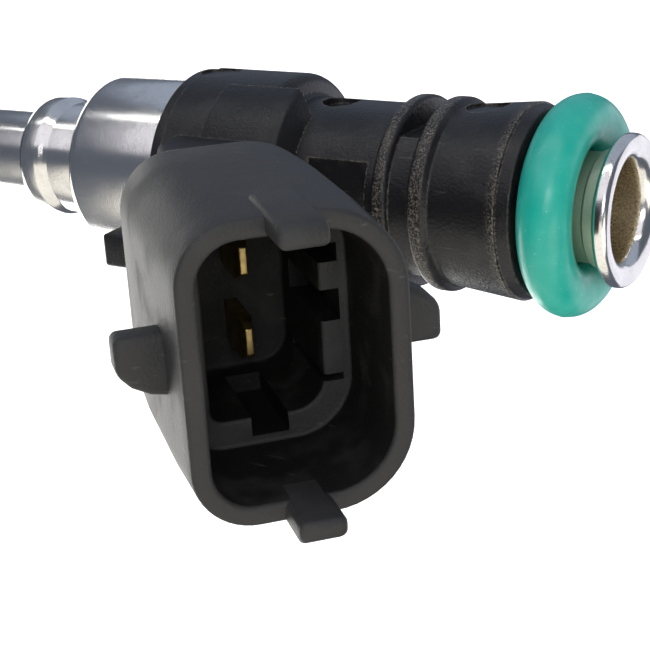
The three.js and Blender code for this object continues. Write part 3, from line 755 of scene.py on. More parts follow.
FINISHES: dict[str, Finish] = {
    # near-black and satin on the barrel, lighter grey and rougher on the connector, with painted
    # highlights on the edges and rib crowns
    "body": GlassFilledNylon(
        "glass-filled nylon, moulded", "body_plastic", "#161618", 0.36, ior=1.53, sheen=0.27
    ),
    # painted shade: the socket's walls get a near-black colour, so that the keys and slots read only
    # by their edges
    "socket": GlassFilledNylon(
        "glass-filled nylon, painted socket shade",
        "body_plastic",
        "#101010",
        0.4,
        ior=1.53,
        sheen=0.2,
        matt_colour="#141413",
    ),
    # dark and satin, with a faint grain
    "cap": MouldedPlastic("nylon, moulded", "cap_plastic", "#27282b", 0.45, ior=1.53),
    # cream, slightly waxy
    "bobbin": MouldedPlastic("natural PBT, moulded", "bobbin_plastic", "#c9bfa4", 0.5, ior=1.55),
    # off-white, slightly waxy
    "filter": MouldedPlastic("acetal, moulded", "filter_plastic", "#d8d4c8", 0.45, ior=1.48),
    # even teal with a soft highlight
    "seal": FluoroRubber("fluoro rubber, moulded", "seal_rubber", "#1aa392", 0.33, ior=1.45),
    # bright bands along the part, softened by fine turning rings
    "steel": TurnedSteel("stainless steel, turned", "drawn_steel", "#dcdad6", 0.19, 1.0),
    # a golden-brown grain inside the inlet
    "bore": StainedSteel("stainless steel, fuel-stained", "drawn_steel", "#ede0c0", 0.3, 1.0),
    # grey-green and dull under the flange
    "neck": TurnedSteel(
        "stainless steel, matt", "drawn_steel", "#c3c8b4", 0.5, 1.0, ring_depth=0.004
    ),
    # darker and duller than the outer steel
    "magnet": TurnedSteel("magnetic steel, turned", "magnet_steel", "#a9a8a4", 0.34, 1.0),
    # cool grey with drawn marks
    "spring": StampedMetal(
        "spring steel, drawn", "spring_steel", "#a9abb0", 0.28, 1.0, stain_colour="#6e6f73"
    ),
    # red-brown, glossy under its enamel
    "copper": StampedMetal(
        "enamelled copper wire", "copper_wire", "#b8703a", 0.32, 1.0, stain_colour="#7c3f1c"
    ),
    # dull gold with a brown stain
    "brass": StampedMetal("tinned brass, stamped", "brass", "#a08c5e", 0.38, 1.0),
}


class Paintbox:
    """Makes each finish once and hands it out."""

    def __init__(self) -> None:
        """Start with nothing made."""
        self.made: dict[str, bpy.types.Material] = {}

    def material(self, key: str) -> bpy.types.Material:
        """The material of a finish, made the first time it is asked for."""
        if key not in self.made:
            self.made[key] = FINISHES[key].make()
        return self.made[key]

    def paint(self, obj: bpy.types.Object, key: str) -> None:
        """Give the whole object one finish."""
        obj.data.materials.clear()
        obj.data.materials.append(self.material(key))

    def piece(
        self, obj: bpy.types.Object, key: str, replaces: str, body: Body = Body.HOUSING
    ) -> bpy.types.Object:
        """Dress a finished piece, set it on its body and let it stand for a CAD node.

        Args:
            obj: The piece, in metres.
            key: Its finish.
            replaces: The CAD node that it stands for.
            body: The body that it rides on.

        Returns:
            The piece.
        """
        self.paint(obj, key)
        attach(obj, body.value)
        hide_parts(replaces)
        LOG.info("%s: %d faces, for %s", obj.name, len(obj.data.polygons), replaces)
        return obj


# ---------------------------------------------------------------------------------------
# Shared places
# ---------------------------------------------------------------------------------------


def extent(node: str) -> tuple[Vector, Vector]:
    """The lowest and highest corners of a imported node, in millimetres."""
    low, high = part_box(node)
    return low / METRES, high / METRES


@dataclass(frozen=True)
class Datums:
    """Heights, radii and the connector's own frame, which the pieces share, in millimetres."""

    ring_z: float
    ring_cord: float
    ring_inner: float
    tube_r: float
    mouth: Matrix

    @classmethod
    def read(cls, record: dict) -> Datums:
        """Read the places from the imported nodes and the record.

        Args:
            record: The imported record.

        Returns:
            The places.
        """
        low, high = extent("upper_o_ring")
        cord = (high.z - low.z) / 2
        inner = high.x - 2 * cord
        rim = next(m for m in record["mounts"] if m["name"] == "connector_rim")
        outward = Vector(rim["axis"])
        across = Vector((0, outward.z, -outward.y))
        half_mouth = 5.4  # from the rim's mount to the middle of the mouth
        middle = Vector(rim["pos_m"]) / METRES + across * half_mouth
        turn = Matrix((Vector((1, 0, 0)), across, outward)).transposed()
        return cls(
            ring_z=(low.z + high.z) / 2,
            ring_cord=cord,
            ring_inner=inner,
            tube_r=inner - CLEARANCE,
            mouth=Matrix.Translation(middle) @ turn.to_4x4(),
        )

    def in_connector(self, across: float, depth: float) -> Vector:
        """A point of the connector, across towards the inlet and deep behind the mouth."""
        return self.mouth @ Vector((0, across, -depth))


# ---------------------------------------------------------------------------------------
# Moulded body
# ---------------------------------------------------------------------------------------


@dataclass
class MouldedBody:
    """The moulding: a barrel with two clip ribs, and a leaning connector on an arm."""

    datums: Datums
    paintbox: Paintbox
    neck_r: float = 5.91
    rib_r: float = 6.58
    rib_root_r: float = 6.12
    rib_width: float = 1.15
    shoulder_r: float = 7.51
    shroud_x: float = 8.06
    shroud_y: float = 5.9
    inlet_corner: float = 4.5
    nozzle_corner: float = 3.3
    wall: float = 1.06
    shroud_length: float = 17.2
    ledge_depth: float = 7.6
    socket_depth: float = 15.6
    ledge: float = 1.6
    arm_half_x: float = 4.2
    saddle_edge: float = -2.62  # Y of the saddle's flat side, clear of the barrel's own vertices

    def __post_init__(self) -> None:
        """Work out the heights along the barrel."""
        z = self.datums.ring_z
        self.shoulder_foot = z - 29.4
        self.shoulder_top = z - 20.6
        self.collar_foot = z - 11.95
        self.collar_top = z - 8.15
        self.top = z - 2.05
        self.housing_high = extent("magnet_housing")[1]

    def barrel(self) -> bpy.types.Object:
        """Turn the barrel, with a narrow hole that the bore opens up later."""
        core = 1.5
        rib_top = self.collar_foot + self.rib_width
        second_foot = self.collar_top - self.rib_width
        end_band = 0.95
        return Bench.turned(
            "moulded_body",
            [
                (core, self.shoulder_foot, 0),
                (self.shoulder_r - 0.1, self.shoulder_foot, 0.2),
                (self.shoulder_r - 0.1, self.shoulder_foot + 0.85, 0.03),
                (self.shoulder_r, self.shoulder_foot + 0.95, 0.06),
                (self.shoulder_r, self.shoulder_top + 0.12, 0.9),
                (self.neck_r, self.shoulder_top + 0.45, 0.5),
                (self.neck_r, self.collar_foot, 0.15),
                (self.rib_r, self.collar_foot, 0.42),
                (self.rib_r, rib_top, 0.42),
                (self.rib_root_r, rib_top, 0.1),
                (self.rib_root_r, second_foot, 0.1),
                (self.rib_r, second_foot, 0.42),
                (self.rib_r, self.collar_top - 0.05, 0.42),
                (self.rib_root_r, self.collar_top + 0.3, 0.25),
                (self.rib_r, self.top - end_band, 0.06),
                (self.rib_r - 0.16, self.top - end_band + 0.06, 0.05),
                (self.rib_r - 0.26, self.top, 0.15),
                (core, self.top, 0),
            ],
            steps=192,
        )

    def shroud(self) -> bpy.types.Object:
        """Extrude the connector's rounded shell and its stepped socket out of one plane."""
        Bench.deselect()
        bpy.ops.mesh.primitive_plane_add(size=2, location=(0, 0, 0))
        obj = bpy.context.object
        obj.name = "shroud"
        bpy.ops.object.mode_set(mode="EDIT")
        bpy.ops.transform.resize(value=(self.shroud_x, self.shroud_y, 1))
        for side, corner in ((1, self.inlet_corner), (-1, self.nozzle_corner)):
            Bench.pick(obj, lambda place: place.y * side > self.shroud_y - 1e-3)
            bpy.ops.mesh.bevel(offset=corner, segments=12, affect="VERTICES")
        bpy.ops.mesh.select_all(action="SELECT")
        rear_round = 1.6
        swell = 0.14  # the shell is a little fuller behind the rim
        steps = 4
        sweep = [math.pi / 2 * i / steps for i in range(steps + 1)]
        stations = [
            (-self.shroud_length + rear_round * (1 - math.cos(a)), rear_round * (math.sin(a) - 1))
            for a in sweep
        ]
        stations += [(-12.0, swell), (-5.0, swell), (-1.6, 0.04), (0.0, 0.0)]
        height, grown = stations[0]
        bpy.ops.transform.translate(value=(0, 0, height))
        bpy.ops.transform.resize(value=self.scale_to(grown, 0), center_override=(0, 0, 0))
        for next_height, next_grown in stations[1:]:
            move = {"value": (0, 0, next_height - height)}
            bpy.ops.mesh.extrude_region_move(TRANSFORM_OT_translate=move)
            ratio = self.scale_to(next_grown, grown)
            bpy.ops.transform.resize(value=ratio, center_override=(0, 0, 0))
            height, grown = next_height, next_grown
        bpy.ops.mesh.inset(thickness=self.wall)
        ledge = {"value": (0, 0, -self.ledge_depth)}
        bpy.ops.mesh.extrude_region_move(TRANSFORM_OT_translate=ledge)
        bpy.ops.mesh.inset(thickness=self.ledge)
        pocket = self.ledge_depth - self.socket_depth
        bpy.ops.mesh.extrude_region_move(TRANSFORM_OT_translate={"value": (0, 0, pocket)})
        Bench.close(obj)
        return Bench.soften(obj, 0.24)

    def scale_to(self, grown: float, before: float) -> tuple[float, float, float]:
        """The scale that takes the shroud's section from one swelling to another."""
        return (
            (self.shroud_x + grown) / (self.shroud_x + before),
            (self.shroud_y + grown) / (self.shroud_y + before),
            1,
        )

    def arm(self) -> bpy.types.Object:
        """The arm from the shroud's back into the barrel."""
        inside = -self.neck_r / 2
        foot = self.shoulder_foot + 0.95
        top = self.shoulder_top + 1.15
        behind = self.shroud_length - 1.5
        low = self.datums.in_connector(1.4 - self.shroud_y, behind)
        high = self.datums.in_connector(self.shroud_y - 1.2, behind)
        side = [
            (inside, foot),
            (-self.shoulder_r - 0.9, foot + 1),
            (low.y, low.z),
            (high.y, high.z),
            (-self.neck_r - 1.1, top),
            (inside, top),
        ]
        corners = [Vector((-self.arm_half_x, y, z)) for y, z in side]
        obj = Bench.slab("arm", corners, Vector((2 * self.arm_half_x, 0, 0)))
        return Bench.soften(obj, 0.8, 5)

    def under_lug(self) -> bpy.types.Object:
        """The small lug beside the steel housing, under one edge of the arm."""
        edge_x = self.arm_half_x + 0.9
        width = 2.4
        foot = self.shoulder_foot - 3.15
        root_y = -self.housing_high.x - 0.55
        reach_y = -self.housing_high.x - 2.75
        top = self.shoulder_foot + 4.05
        side = [(reach_y, foot), (root_y, foot), (root_y, top), (reach_y, top)]
        corners = [Vector((edge_x - width, y, z)) for y, z in side]
        return Bench.soften(Bench.slab("under_lug", corners, Vector((width, 0, 0))), 0.25)

    def saddle(self) -> bpy.types.Object:
        """The raised block over the coil, on the connector's side only."""
        foot = self.shoulder_foot + 4.15
        top = self.shoulder_top + 1.5
        drum_r = self.shoulder_r + 0.14
        obj = Bench.turned(
            "saddle",
            [
                (2.0, foot, 0),
                (drum_r, foot, 0.2),
                (drum_r, top, 0.55),
                (self.neck_r - 0.3, top + 0.9, 0),
                (2.0, top + 0.9, 0),
            ],
            steps=192,
        )
        Bench.take(obj)
        bpy.ops.object.mode_set(mode="EDIT")
        bpy.ops.mesh.select_all(action="SELECT")
        bpy.ops.mesh.bisect(
            plane_co=(0, self.saddle_edge, 0), plane_no=(0, 1, 0), clear_outer=True, use_fill=True
        )
        Bench.close(obj)
        return obj

    def side_lug(self, side: int) -> bpy.types.Object:
        """A lug on a broad side of the shroud. The two are half a turn apart.

        Args:
            side: 1 for the side towards the inlet, -1 for the side towards the nozzle.

        Returns:
            The lug, in the connector's frame.
        """
        reach = self.shroud_y + (3.3 if side > 0 else 2.65)
        front = 4.7 if side > 0 else 4.1
        root = self.shroud_y - 0.6
        outline = [
            (1.5, root),
            (1.5, reach),
            (-0.5, reach),
            (-1.3, reach - 0.75),
            (-1.8, reach - 1.7),
            (-2.1, root),
        ]
        corners = [Vector((x, y, -front - 1.9)) for x, y in outline]
        obj = Bench.soften(Bench.slab("side_lug", corners, Vector((0, 0, 1.9))), 0.45, 5)
        return Bench.place(obj, Matrix.Rotation(0 if side > 0 else math.pi, 4, "Z"))

    def tongue(self, side: int) -> bpy.types.Object:
        """A tongue that carries a narrow wall of the shroud forward of its rim."""
        inner = self.shroud_x - self.wall
        half_width = 1.25
        outline = [
            (inner, -2.0),
            (inner, 2.8),
            (self.shroud_x - 0.1, 2.8),
            (self.shroud_x + 0.25, 2.2),
            (self.shroud_x + 0.3, -3.2),
            (self.shroud_x - 0.3, -5.0),
            (inner, -5.0),
        ]
        corners = [Vector((x, -half_width, z)) for x, z in outline]
        obj = Bench.slab("tongue", corners, Vector((0, 2 * half_width, 0)))
        Bench.soften(obj, 0.36, 4)
        return Bench.place(obj, Matrix.Rotation(0 if side > 0 else math.pi, 4, "Z"))

    def key_slots(self) -> list[bpy.types.Object]:
        """Cutters for the key slots round the deep pocket, in the connector's frame."""
        pocket_x = self.shroud_x - self.wall - self.ledge
        pocket_y = self.shroud_y - self.wall - self.ledge
        reach = 1.1
        start, end = 1.5 - self.socket_depth, 0.5 - self.ledge_depth
        lap, end_half = 0.4, 1.05
        inlet_side = [(-1.3, 0.5), (-3.9, -2.85), (3.6, 4.0)]
        sides = [
            (pocket_x - lap, pocket_x + reach, -end_half, end_half),
            (-pocket_x - reach, -pocket_x + lap, -end_half, end_half),
        ]
        sides += [(a, b, pocket_y - lap, pocket_y + reach) for a, b in inlet_side]
        return [Bench.block("key", (a, c, start), (b, d, end)) for a, b, c, d in sides]

    def recess(self, radius: float, height: float, floor_r: float) -> bpy.types.Object:
        """A cutter for the shallow round mark that a mould pin leaves on the -X side."""
        foot = Vector((-floor_r, 0, height))
        return Bench.rod("mould_pin", radius, foot, foot - Vector((1.5, 0, 0)), 48)

    def cutters(self) -> list[bpy.types.Object]:
        """Every cutter of the barrel."""
        axis = Vector((0, 0, 1))
        pocket_top = self.housing_high.z + CLEARANCE
        housing_r = self.housing_high.x + CLEARANCE
        bore_r = self.datums.tube_r + CLEARANCE
        pocket_foot = self.shoulder_foot - 6
        rib_top = self.collar_foot + self.rib_width
        second_foot = self.collar_top - self.rib_width
        slot_x = self.neck_r - 1.2
        wide = self.rib_r + 1
        neck_y = -self.neck_r
        return [
            Bench.rod("bore", bore_r, axis * (pocket_top - 1), axis * (self.top + 1), 144),
            Bench.rod("pocket", housing_r, axis * pocket_foot, axis * pocket_top, 144),
            Bench.block("slot", (slot_x, -wide, rib_top), (wide, wide, second_foot)),
            Bench.block("slot", (-wide, -wide, rib_top), (-slot_x, wide, second_foot)),
            Bench.block(
                "neck_pocket",
                (-3.1, neck_y - 1, self.shoulder_top + 3.2),
                (3.1, neck_y + 0.9, self.collar_foot - 0.75),
            ),
            self.recess(1.5, self.shoulder_foot + 1.9, self.shoulder_r - 0.28),
            self.recess(1.35, self.shoulder_top + 3.1, self.neck_r - 0.5),
            self.recess(1.5, self.collar_top + 1.9, self.rib_root_r - 0.2),
        ]

    def build(self) -> None:
        """Join the barrel and the connector, cut the openings and dress the moulding."""
        body = self.barrel()
        connector = self.shroud()
        for side in (1, -1):
            Bench.combine(connector, self.side_lug(side), Joining.ADD)
            Bench.combine(connector, self.tongue(side), Joining.ADD)
        Bench.place(connector, self.datums.mouth)
        for part in (self.saddle(), self.arm(), self.under_lug()):
            Bench.combine(body, part, Joining.ADD)
        Bench.combine(body, connector, Joining.ADD)
        for cutter in self.socket_core():
            Bench.combine(body, Bench.place(cutter, self.datums.mouth), Joining.CUT)
        for cutter in self.cutters():
            Bench.combine(body, cutter, Joining.CUT)
        Bench.clean(body)
        Bench.finish(body)
        self.paintbox.piece(body, "body", "overmold_body")
        self.paint_socket_shade(body)

    def paint_socket_shade(self, body: bpy.types.Object) -> None:
        """Paint shade on the socket's walls with the near-black finish, save for the shelf that
        faces outwards.
        """
        body.data.materials.append(self.paintbox.material("socket"))
        to_mouth = self.datums.mouth.inverted()
        outward = self.datums.mouth.col[2].xyz
        inner_x, inner_y = self.shroud_x - self.wall, self.shroud_y - self.wall
        margin = 0.05
        for face in body.data.polygons:
            place = to_mouth @ (face.center / METRES)
            between_walls = abs(place.x) < inner_x + margin and abs(place.y) < inner_y + margin
            deep = -self.socket_depth - margin < place.z < -0.3
            on_shelf = face.normal.dot(outward) > 0.7 and place.z > -self.ledge_depth - 0.5
            # faces deep between the socket's walls get the near-black painted shade
            face.material_index = int(between_walls and deep and not on_shelf)

    def socket_core(self) -> list[bpy.types.Object]:
        """What clears the socket again where the arm reached into it, and its key slots."""
        pocket_x = self.shroud_x - self.wall - self.ledge - 0.3
        pocket_y = self.shroud_y - self.wall - self.ledge - 0.3
        clear = Bench.block(
            "clear",
            (-pocket_x + 1.2, -pocket_y, -self.socket_depth + 0.02),
            (pocket_x - 1.2, pocket_y, -self.ledge_depth - 0.5),
        )
        return [clear, *self.key_slots()]


@dataclass
class Terminals:
    """Two stamped blades, bent where they leave the connector's pocket."""

    datums: Datums
    paintbox: Paintbox
    tip_depth: float = 11.2
    tip_taper: float = 0.9
    tip_shrink: tuple[float, float, float] = (0.62, 0.55, 0.55)
    half_thickness: float = 0.4

    def build(self) -> None:
        """Model a blade over each packed one."""
        for node in ("terminal_pin_a", "terminal_pin_b"):
            low, high = extent(node)
            self.blade(node, low, high)

    def blade(self, node: str, low: Vector, high: Vector) -> None:
        """Model one blade from its side outline and taper its tip.

        Args:
            node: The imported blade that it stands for.
            low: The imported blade's lowest corner.
            high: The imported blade's highest corner.
        """
        half = self.half_thickness
        foot_z = low.z + half
        outward = Vector((0, self.datums.mouth[1][2], self.datums.mouth[2][2]))
        across = Vector((0, self.datums.mouth[1][1], self.datums.mouth[2][1]))
        tip = self.datums.in_connector(0, self.tip_depth + self.tip_taper)
        bend = tip - outward * ((tip.z - foot_z) / outward.z)
        turn = math.atan2(-outward.y, outward.z)
        miter = half * math.tan((math.pi / 2 - turn) / 2)
        outline = [
            tip + across * half,
            tip - across * half,
            bend - across * half + outward * miter,
            Vector((0, high.y, foot_z - half)),
            Vector((0, high.y, foot_z + half)),
            bend + across * half - outward * miter,
        ]
        corners = [Vector((low.x, p.y, p.z)) for p in outline]
        obj = Bench.slab(node + "_blade", corners, Vector((high.x - low.x, 0, 0)))
        Bench.take(obj)
        bpy.ops.object.mode_set(mode="EDIT")
        Bench.pick(obj, lambda place: (place - tip).dot(outward) > -1e-3)
        move = {"value": outward * self.tip_taper}
        bpy.ops.mesh.extrude_region_move(TRANSFORM_OT_translate=move)
        bpy.ops.transform.resize(value=self.tip_shrink)
        Bench.close(obj)
        Bench.finish(Bench.soften(obj, 0.07, 3))
        self.paintbox.piece(obj, "brass", node)


# ---------------------------------------------------------------------------------------
# Metal tubes
# ---------------------------------------------------------------------------------------


@dataclass
class SteelTubes:
    """The inlet tube, the magnet's housing, the bead collar and the long valve sleeve."""

    datums: Datums
    paintbox: Paintbox
    inlet_wall: float = 0.36
    sleeve_wall: float = 0.55
    cup_wall: float = 0.65
    cup_floor: float = 0.7
    bead_rise: float = 0.4

    def build(self) -> None:
        """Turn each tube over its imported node."""
        self.inlet_tube()
        self.magnet_housing()
        self.bead_collar()
        self.valve_sleeve()

    def inlet_tube(self) -> None:
        """The inlet tube, whose end is flared to a rolled flange."""
        low, high = extent("inlet_tube")
        outer, flange, top = self.datums.tube_r, high.x, high.z
        bore = outer - self.inlet_wall
        neck = outer + 0.24
        seat = self.datums.ring_z + self.datums.ring_cord - 0.1
        obj = Bench.turned(
            "inlet_tube_turned",
            [
                (bore, low.z, 0.08),
                (outer, low.z, 0.1),
                (outer, seat, 0.08),
                (neck, seat + 0.15, 0.08),
                (neck, top - 1.3, 0.2),
                (flange, top - 0.95, 0.38),
                (flange, top, 0.5),
                (bore, top, 1.15),
            ],
        )
        self.paintbox.piece(Bench.finish(obj), "steel", "inlet_tube")
        obj.data.materials.append(self.paintbox.material("bore"))
        obj.data.materials.append(self.paintbox.material("neck"))
        for face in obj.data.polygons:
            place = face.center / METRES
            if place.xy.length < bore + 0.02:
                face.material_index = 1
            elif place.z < top - 1.2:
                face.material_index = 2

    def magnet_housing(self) -> None:
        """The drawn cup round the coil."""
        low, high = extent("magnet_housing")
        outer = high.x
        inner, bore = outer - self.cup_wall, self.sleeve_radius() + CLEARANCE
        floor = low.z + self.cup_floor
        obj = Bench.turned(
            "magnet_housing_drawn",
            [
                (bore, low.z, 0.12),
                (outer, low.z, 1.05),
                (outer, high.z, 0.1),
                (inner, high.z, 0),
                (inner, floor, 0.3),
                (bore, floor, 0.1),
            ],
        )
        self.paintbox.piece(Bench.finish(obj), "steel", "magnet_housing")

    def sleeve_radius(self) -> float:
        """The valve sleeve's outer radius."""
        low, high = extent("valve_sleeve")
        return max(high.x, high.y)

    def bead_collar(self) -> None:
        """The stepped collar, which ends below in a rolled bead."""
        low, high = extent("bead_collar")
        bead = high.x
        tube = bead - self.bead_rise
        bore = self.sleeve_radius() + CLEARANCE
        obj = Bench.turned(
            "bead_collar_rolled",
            [
                (bore, low.z, 0.15),
                (bead, low.z, 1.0),
                (bead, low.z + 2.15, 0.7),
                (tube, low.z + 2.75, 0.7),
                (tube, high.z, 0.1),
                (bore, high.z, 0),
            ],
        )
        self.paintbox.piece(Bench.finish(obj), "steel", "bead_collar")

    def valve_sleeve(self) -> None:
        """The long tube of the tip, reduced at its upper end."""
        low, high = extent("valve_sleeve")
        outer = self.sleeve_radius()
        bore = outer - self.sleeve_wall
        lap = self.datums.tube_r - self.inlet_wall - CLEARANCE
        step = extent("inlet_tube")[0].z - FACE_GAP
        obj = Bench.turned(
            "valve_sleeve_drawn",
            [
                (bore, low.z, 0.08),
                (outer, low.z, 0.15),
                (outer, step, 0.05),
                (lap, step, 0),
                (lap, high.z, 0.1),
                (bore, high.z, 0.1),
            ],
        )
        self.paintbox.piece(Bench.finish(obj), "steel", "valve_sleeve")


@dataclass
class Seals:
    """The two seal rings, moulded with a faint parting line round the outside."""

    paintbox: Paintbox
    section_steps: int = 44
    flash: float = 0.025

    def build(self) -> None:
        """Turn a ring over each packed one."""
        for node in ("upper_o_ring", "lower_o_ring"):
            self.ring(node)

    def ring(self, node: str) -> None:
        """Turn one seal ring. The flash is the thin ridge where the mould parted."""
        low, high = extent(node)
        cord = (high.z - low.z) / 2
        middle = high.x - cord
        corners: list[Corner] = []
        for step in range(self.section_steps):
            angle = 2 * math.pi * step / self.section_steps
            radius = cord - self.flash * (0 if step == 0 else 1)
            place = (middle + radius * math.cos(angle), radius * math.sin(angle))
            corners.append((place[0], (low.z + high.z) / 2 + place[1], 0))
        obj = Bench.turned(node + "_moulded", corners, steps=160)
        self.paintbox.piece(Bench.finish(obj, 60), "seal", node)


@dataclass
class NozzleEnd:
    """The plastic cap on the tip and the backing ring above the lower seal."""

    datums: Datums
    paintbox: Paintbox

    def build(self) -> None:
        """Turn both pieces."""
        self.cap()
        self.ring_stop()

    def cap(self) -> None:
        """The nozzle cap, whose upper part is the lower seal's groove."""
        low, high = extent("nozzle_cap")
        seal_low = extent("lower_o_ring")[0]
        lip_r = high.x
        lip = seal_low.z - FACE_GAP
        groove = self.datums.ring_inner - CLEARANCE
        bore = groove - 0.21
        nose = bore + 1
        hole = bore - 1.1
        obj = Bench.turned(
            "nozzle_cap_moulded",
            [
                (hole, low.z, 0.15),
                (nose, low.z, 0.3),
                (nose, lip - 3.0, 0.4),
                (lip_r, lip - 1.5, 0.35),
                (lip_r, lip, 0.15),
                (groove, lip, 0.15),
                (groove, high.z, 0.06),
                (bore, high.z, 0),
                (bore, low.z + 0.7, 0),
                (hole, low.z + 0.7, 0.1),
            ],
        )
        self.paintbox.piece(Bench.finish(obj), "cap", "nozzle_cap")

    def ring_stop(self) -> None:
        """The backing ring, which tapers up to the sleeve."""
        low, high = extent("ring_stop")
        bore = self.datums.ring_inner - CLEARANCE - 0.21
        obj = Bench.turned(
            "ring_stop_moulded",
            [
                (bore, low.z, 0),
                (high.x, low.z, 0.15),
                (high.x, low.z + 1.6, 0.3),
                (high.x - 0.7, low.z + 2.35, 0.3),
                (bore + 0.6, low.z + 2.8, 0.3),
                (bore + 0.5, high.z, 0.15),
                (bore, high.z, 0),
            ],
        )
        self.paintbox.piece(Bench.finish(obj), "cap", "ring_stop")


@dataclass
class InletFilter:
    """The filter in the inlet: a pressed ring and a woven cup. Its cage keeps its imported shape."""

    paintbox: Paintbox
    ring_wall: float = 0.55
    mesh_columns: int = 40
    mesh_rows: int = 36

    def build(self) -> None:
        """Model the ring and the woven cup, which show in the bore."""
        self.ring()
        self.woven_cup()

    def ring(self) -> None:
        """The ring that holds the filter in the bore."""
        low, high = extent("filter_ring")
        outer = max(high.x, high.y)
        inner = outer - self.ring_wall
        obj = Bench.turned(
            "filter_ring_pressed",
            [
                (inner, low.z, 0.1),
                (outer, low.z, 0.1),
                (outer, high.z, 0.28),
                (inner, high.z, 0.12),
            ],
        )
        self.paintbox.piece(Bench.finish(obj), "brass", "filter_ring")

    def woven_cup(self) -> None:
        """The wire cloth, as a grid of wires round a cup with an open top."""
        low, high = extent("filter_mesh")
        outer = max(high.x, high.y)
        wire = 0.06
        foot = Vector((0, 0, low.z + wire))
        top = Vector((0, 0, high.z - wire))
        obj = Bench.rod("filter_mesh_woven", outer - wire, foot, top, self.mesh_columns)
        Bench.take(obj)
        bpy.ops.object.mode_set(mode="EDIT")
        Bench.pick(obj, lambda place: place.z > high.z - 2 * wire)
        bpy.ops.mesh.delete(type="ONLY_FACE")
        pitch = (top.z - foot.z) / self.mesh_rows
        for row in range(1, self.mesh_rows):
            bpy.ops.mesh.select_all(action="SELECT")
            level = (0, 0, foot.z + row * pitch)
            bpy.ops.mesh.bisect(plane_co=level, plane_no=(0, 0, 1))
        Bench.pick(obj, lambda place: place.z < low.z + 2 * wire)
        for share in (0.78, 0.72, 0.6):
            bpy.ops.mesh.inset(thickness=outer * (1 - share) * 0.8)
        Bench.close(obj)
        wires = obj.modifiers.new("wires", "WIREFRAME")
        wires.thickness = 2 * wire
        wires.use_even_offset = False
        bpy.ops.object.modifier_apply(modifier=wires.name)
        bpy.ops.object.mode_set(mode="EDIT")
        bpy.ops.mesh.select_mode(type="EDGE")
        bpy.ops.mesh.select_all(action="DESELECT")
        bpy.ops.mesh.select_non_manifold()
        bpy.ops.mesh.bridge_edge_loops()
        Bench.close(obj)
        self.paintbox.piece(Bench.finish(obj, 80), "spring", "filter_mesh")


# ---------------------------------------------------------------------------------------
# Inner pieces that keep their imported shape
# ---------------------------------------------------------------------------------------

INNER_FINISHES: dict[str, str] = {
    "yoke_washer": "magnet",
    "coil_bobbin": "bobbin",
    "coil_winding": "copper",
    "inner_pole": "magnet",
    "adjusting_sleeve": "brass",
    "return_spring": "spring",
    "armature": "magnet",
    "needle_tube": "steel",
    "valve_ball": "spring",
    "ball_guide": "magnet",
    "valve_seat": "magnet",
    "orifice_plate": "spring",
    "filter_cage": "filter",
}


@dataclass
class InnerPieces:
    """The coil, the needle, the spring and the seat, which no outside view shows."""

    nodes: dict[str, bpy.types.Object]
    paintbox: Paintbox

    def build(self) -> None:
        """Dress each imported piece."""
        for node, key in INNER_FINISHES.items():
            self.paintbox.paint(self.nodes[node], key)
            LOG.info("%s keeps its packed shape", node)


# ---------------------------------------------------------------------------------------
# Studio
# ---------------------------------------------------------------------------------------


@dataclass(frozen=True)
class Softbox:
    """A panel light that faces the part.

    Its bearing is in degrees from the camera, positive towards the top of the picture. The part's
    upright steel mirrors what is below it, so the upright panels reach below the floor, which
    light passes through.
    """

    name: str
    bearing: float
    spread: float  # degrees
    brightness: float
    colour: str
    distance: float = 0.32  # metres
    elevation: float = 0.0  # degrees above the part's middle
    height: float = 0.60  # metres


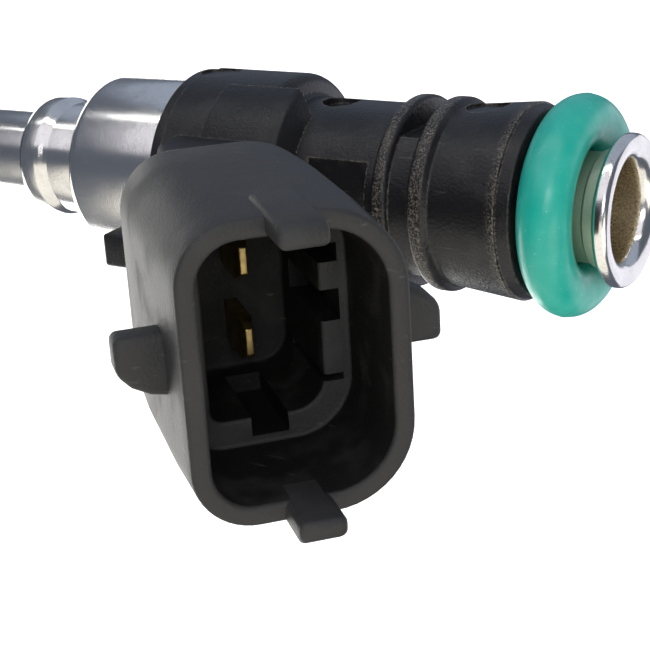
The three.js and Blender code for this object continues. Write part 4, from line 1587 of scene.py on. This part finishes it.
@dataclass
class Studio:
    """The camera, the pale floor and the soft lights."""

    eye: Vector
    right: Vector
    up: Vector
    lens: float = 86.45
    subject: Vector = Vector((0, -0.008, 0.050))
    softboxes: tuple[Softbox, ...] = (
        Softbox("strip", 60, 5, 7.0, "#ffffff"),
        Softbox("key", 31, 42, 1.15, "#efebf2"),
        Softbox("sky", 108, 74, 0.55, "#b9c6dc"),
        Softbox("warm_fill", -66, 88, 1.25, "#fbf5e8"),
        Softbox("overhead", -62, 34, 2.6, "#fff8ea", elevation=57, height=0.2),
        Softbox("back", 180, 60, 1.2, "#f2f0fa", elevation=32, height=0.4),
        Softbox("camera_side", 4, 13, 9.0, "#ffffff", elevation=35, height=0.13),
        Softbox("table", -160, 60, 4.0, "#f6f4ef", elevation=-57, height=0.35),
    )

    def build(self) -> None:
        """Set up the whole studio."""
        self.camera()
        self.floor()
        for softbox in self.softboxes:
            self.light(softbox)
        world = bpy.data.worlds.new("studio")
        bpy.context.scene.world = world
        world.use_nodes = True
        background = world.node_tree.nodes["Background"]
        background.inputs["Color"].default_value = linear("#8f98ab")
        background.inputs["Strength"].default_value = 0.45
        bpy.context.scene.view_settings.view_transform = "Standard"

    def camera(self) -> None:
        """The camera, which looks down along the connector."""
        data = bpy.data.cameras.new("camera")
        data.lens = self.lens
        data.sensor_width = 36
        data.clip_start = 0.001
        camera = bpy.data.objects.new("camera", data)
        bpy.context.scene.collection.objects.link(camera)
        self.set_view(camera, self.eye, self.right, self.up)
        bpy.context.scene.camera = camera

    @staticmethod
    def set_view(obj: bpy.types.Object, place: Vector, right: Vector, up: Vector) -> None:
        """Place a camera or a light with its own right and up."""
        back = right.cross(up)
        turn = Matrix((right, up, back)).transposed()
        obj.matrix_world = Matrix.Translation(place) @ turn.to_4x4()

    def floor(self) -> None:
        """A wide sheet of pale paper under the part."""
        Bench.deselect()
        bpy.ops.mesh.primitive_plane_add(size=6, location=(0, 0, -0.0004))
        paper = bpy.context.object
        paper.name = "paper"
        finish = StudioPaper("white paper, uncoated", "", "#f4f4f2", 0.9)
        paper.data.materials.append(finish.make())
        # light passes through the paper, and the steel doesn't mirror it
        paper.visible_glossy = False
        paper.visible_diffuse = False
        paper.visible_shadow = False

    def light(self, softbox: Softbox) -> None:
        """Add one softbox, turned to the part."""
        width = 2 * softbox.distance * math.tan(math.radians(softbox.spread / 2))
        height = softbox.height
        data = bpy.data.lights.new(softbox.name, "AREA")
        data.shape = "RECTANGLE"
        data.size, data.size_y = width, height
        data.energy = softbox.brightness * math.pi * width * height
        data.color = linear(softbox.colour)[:3]
        lamp = bpy.data.objects.new(softbox.name, data)
        bpy.context.scene.collection.objects.link(lamp)
        camera_side = self.eye - self.subject
        camera_side.z = 0
        turn = Matrix.Rotation(math.radians(-softbox.bearing), 3, "Z")
        level = turn @ camera_side.normalized()
        rise = math.radians(softbox.elevation)
        upright = Vector((0, 0, 1))
        away = level * math.cos(rise) + upright * math.sin(rise)
        across = upright.cross(level)
        place = self.subject + away * softbox.distance
        self.set_view(lamp, place, across, away.cross(across))


def main() -> None:
    """Load the frame, build every sub-assembly and set up the studio."""
    logging.basicConfig(level=logging.INFO, format="%(name)s: %(message)s")
    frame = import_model()
    studio = Studio(
        eye=Vector((-28.342, -91.097, 107.116)) * METRES,
        right=Vector((0.05921, 0.51991, 0.85217)).normalized(),
        up=Vector((-0.93782, 0.32147, -0.13097)).normalized(),
    )
    studio.build()
    datums = Datums.read(frame["record"])
    paintbox = Paintbox()
    MouldedBody(datums, paintbox).build()
    Terminals(datums, paintbox).build()
    SteelTubes(datums, paintbox).build()
    Seals(paintbox).build()
    NozzleEnd(datums, paintbox).build()
    InletFilter(paintbox).build()
    InnerPieces(frame["nodes"], paintbox).build()


if __name__ == "__main__":
    main()
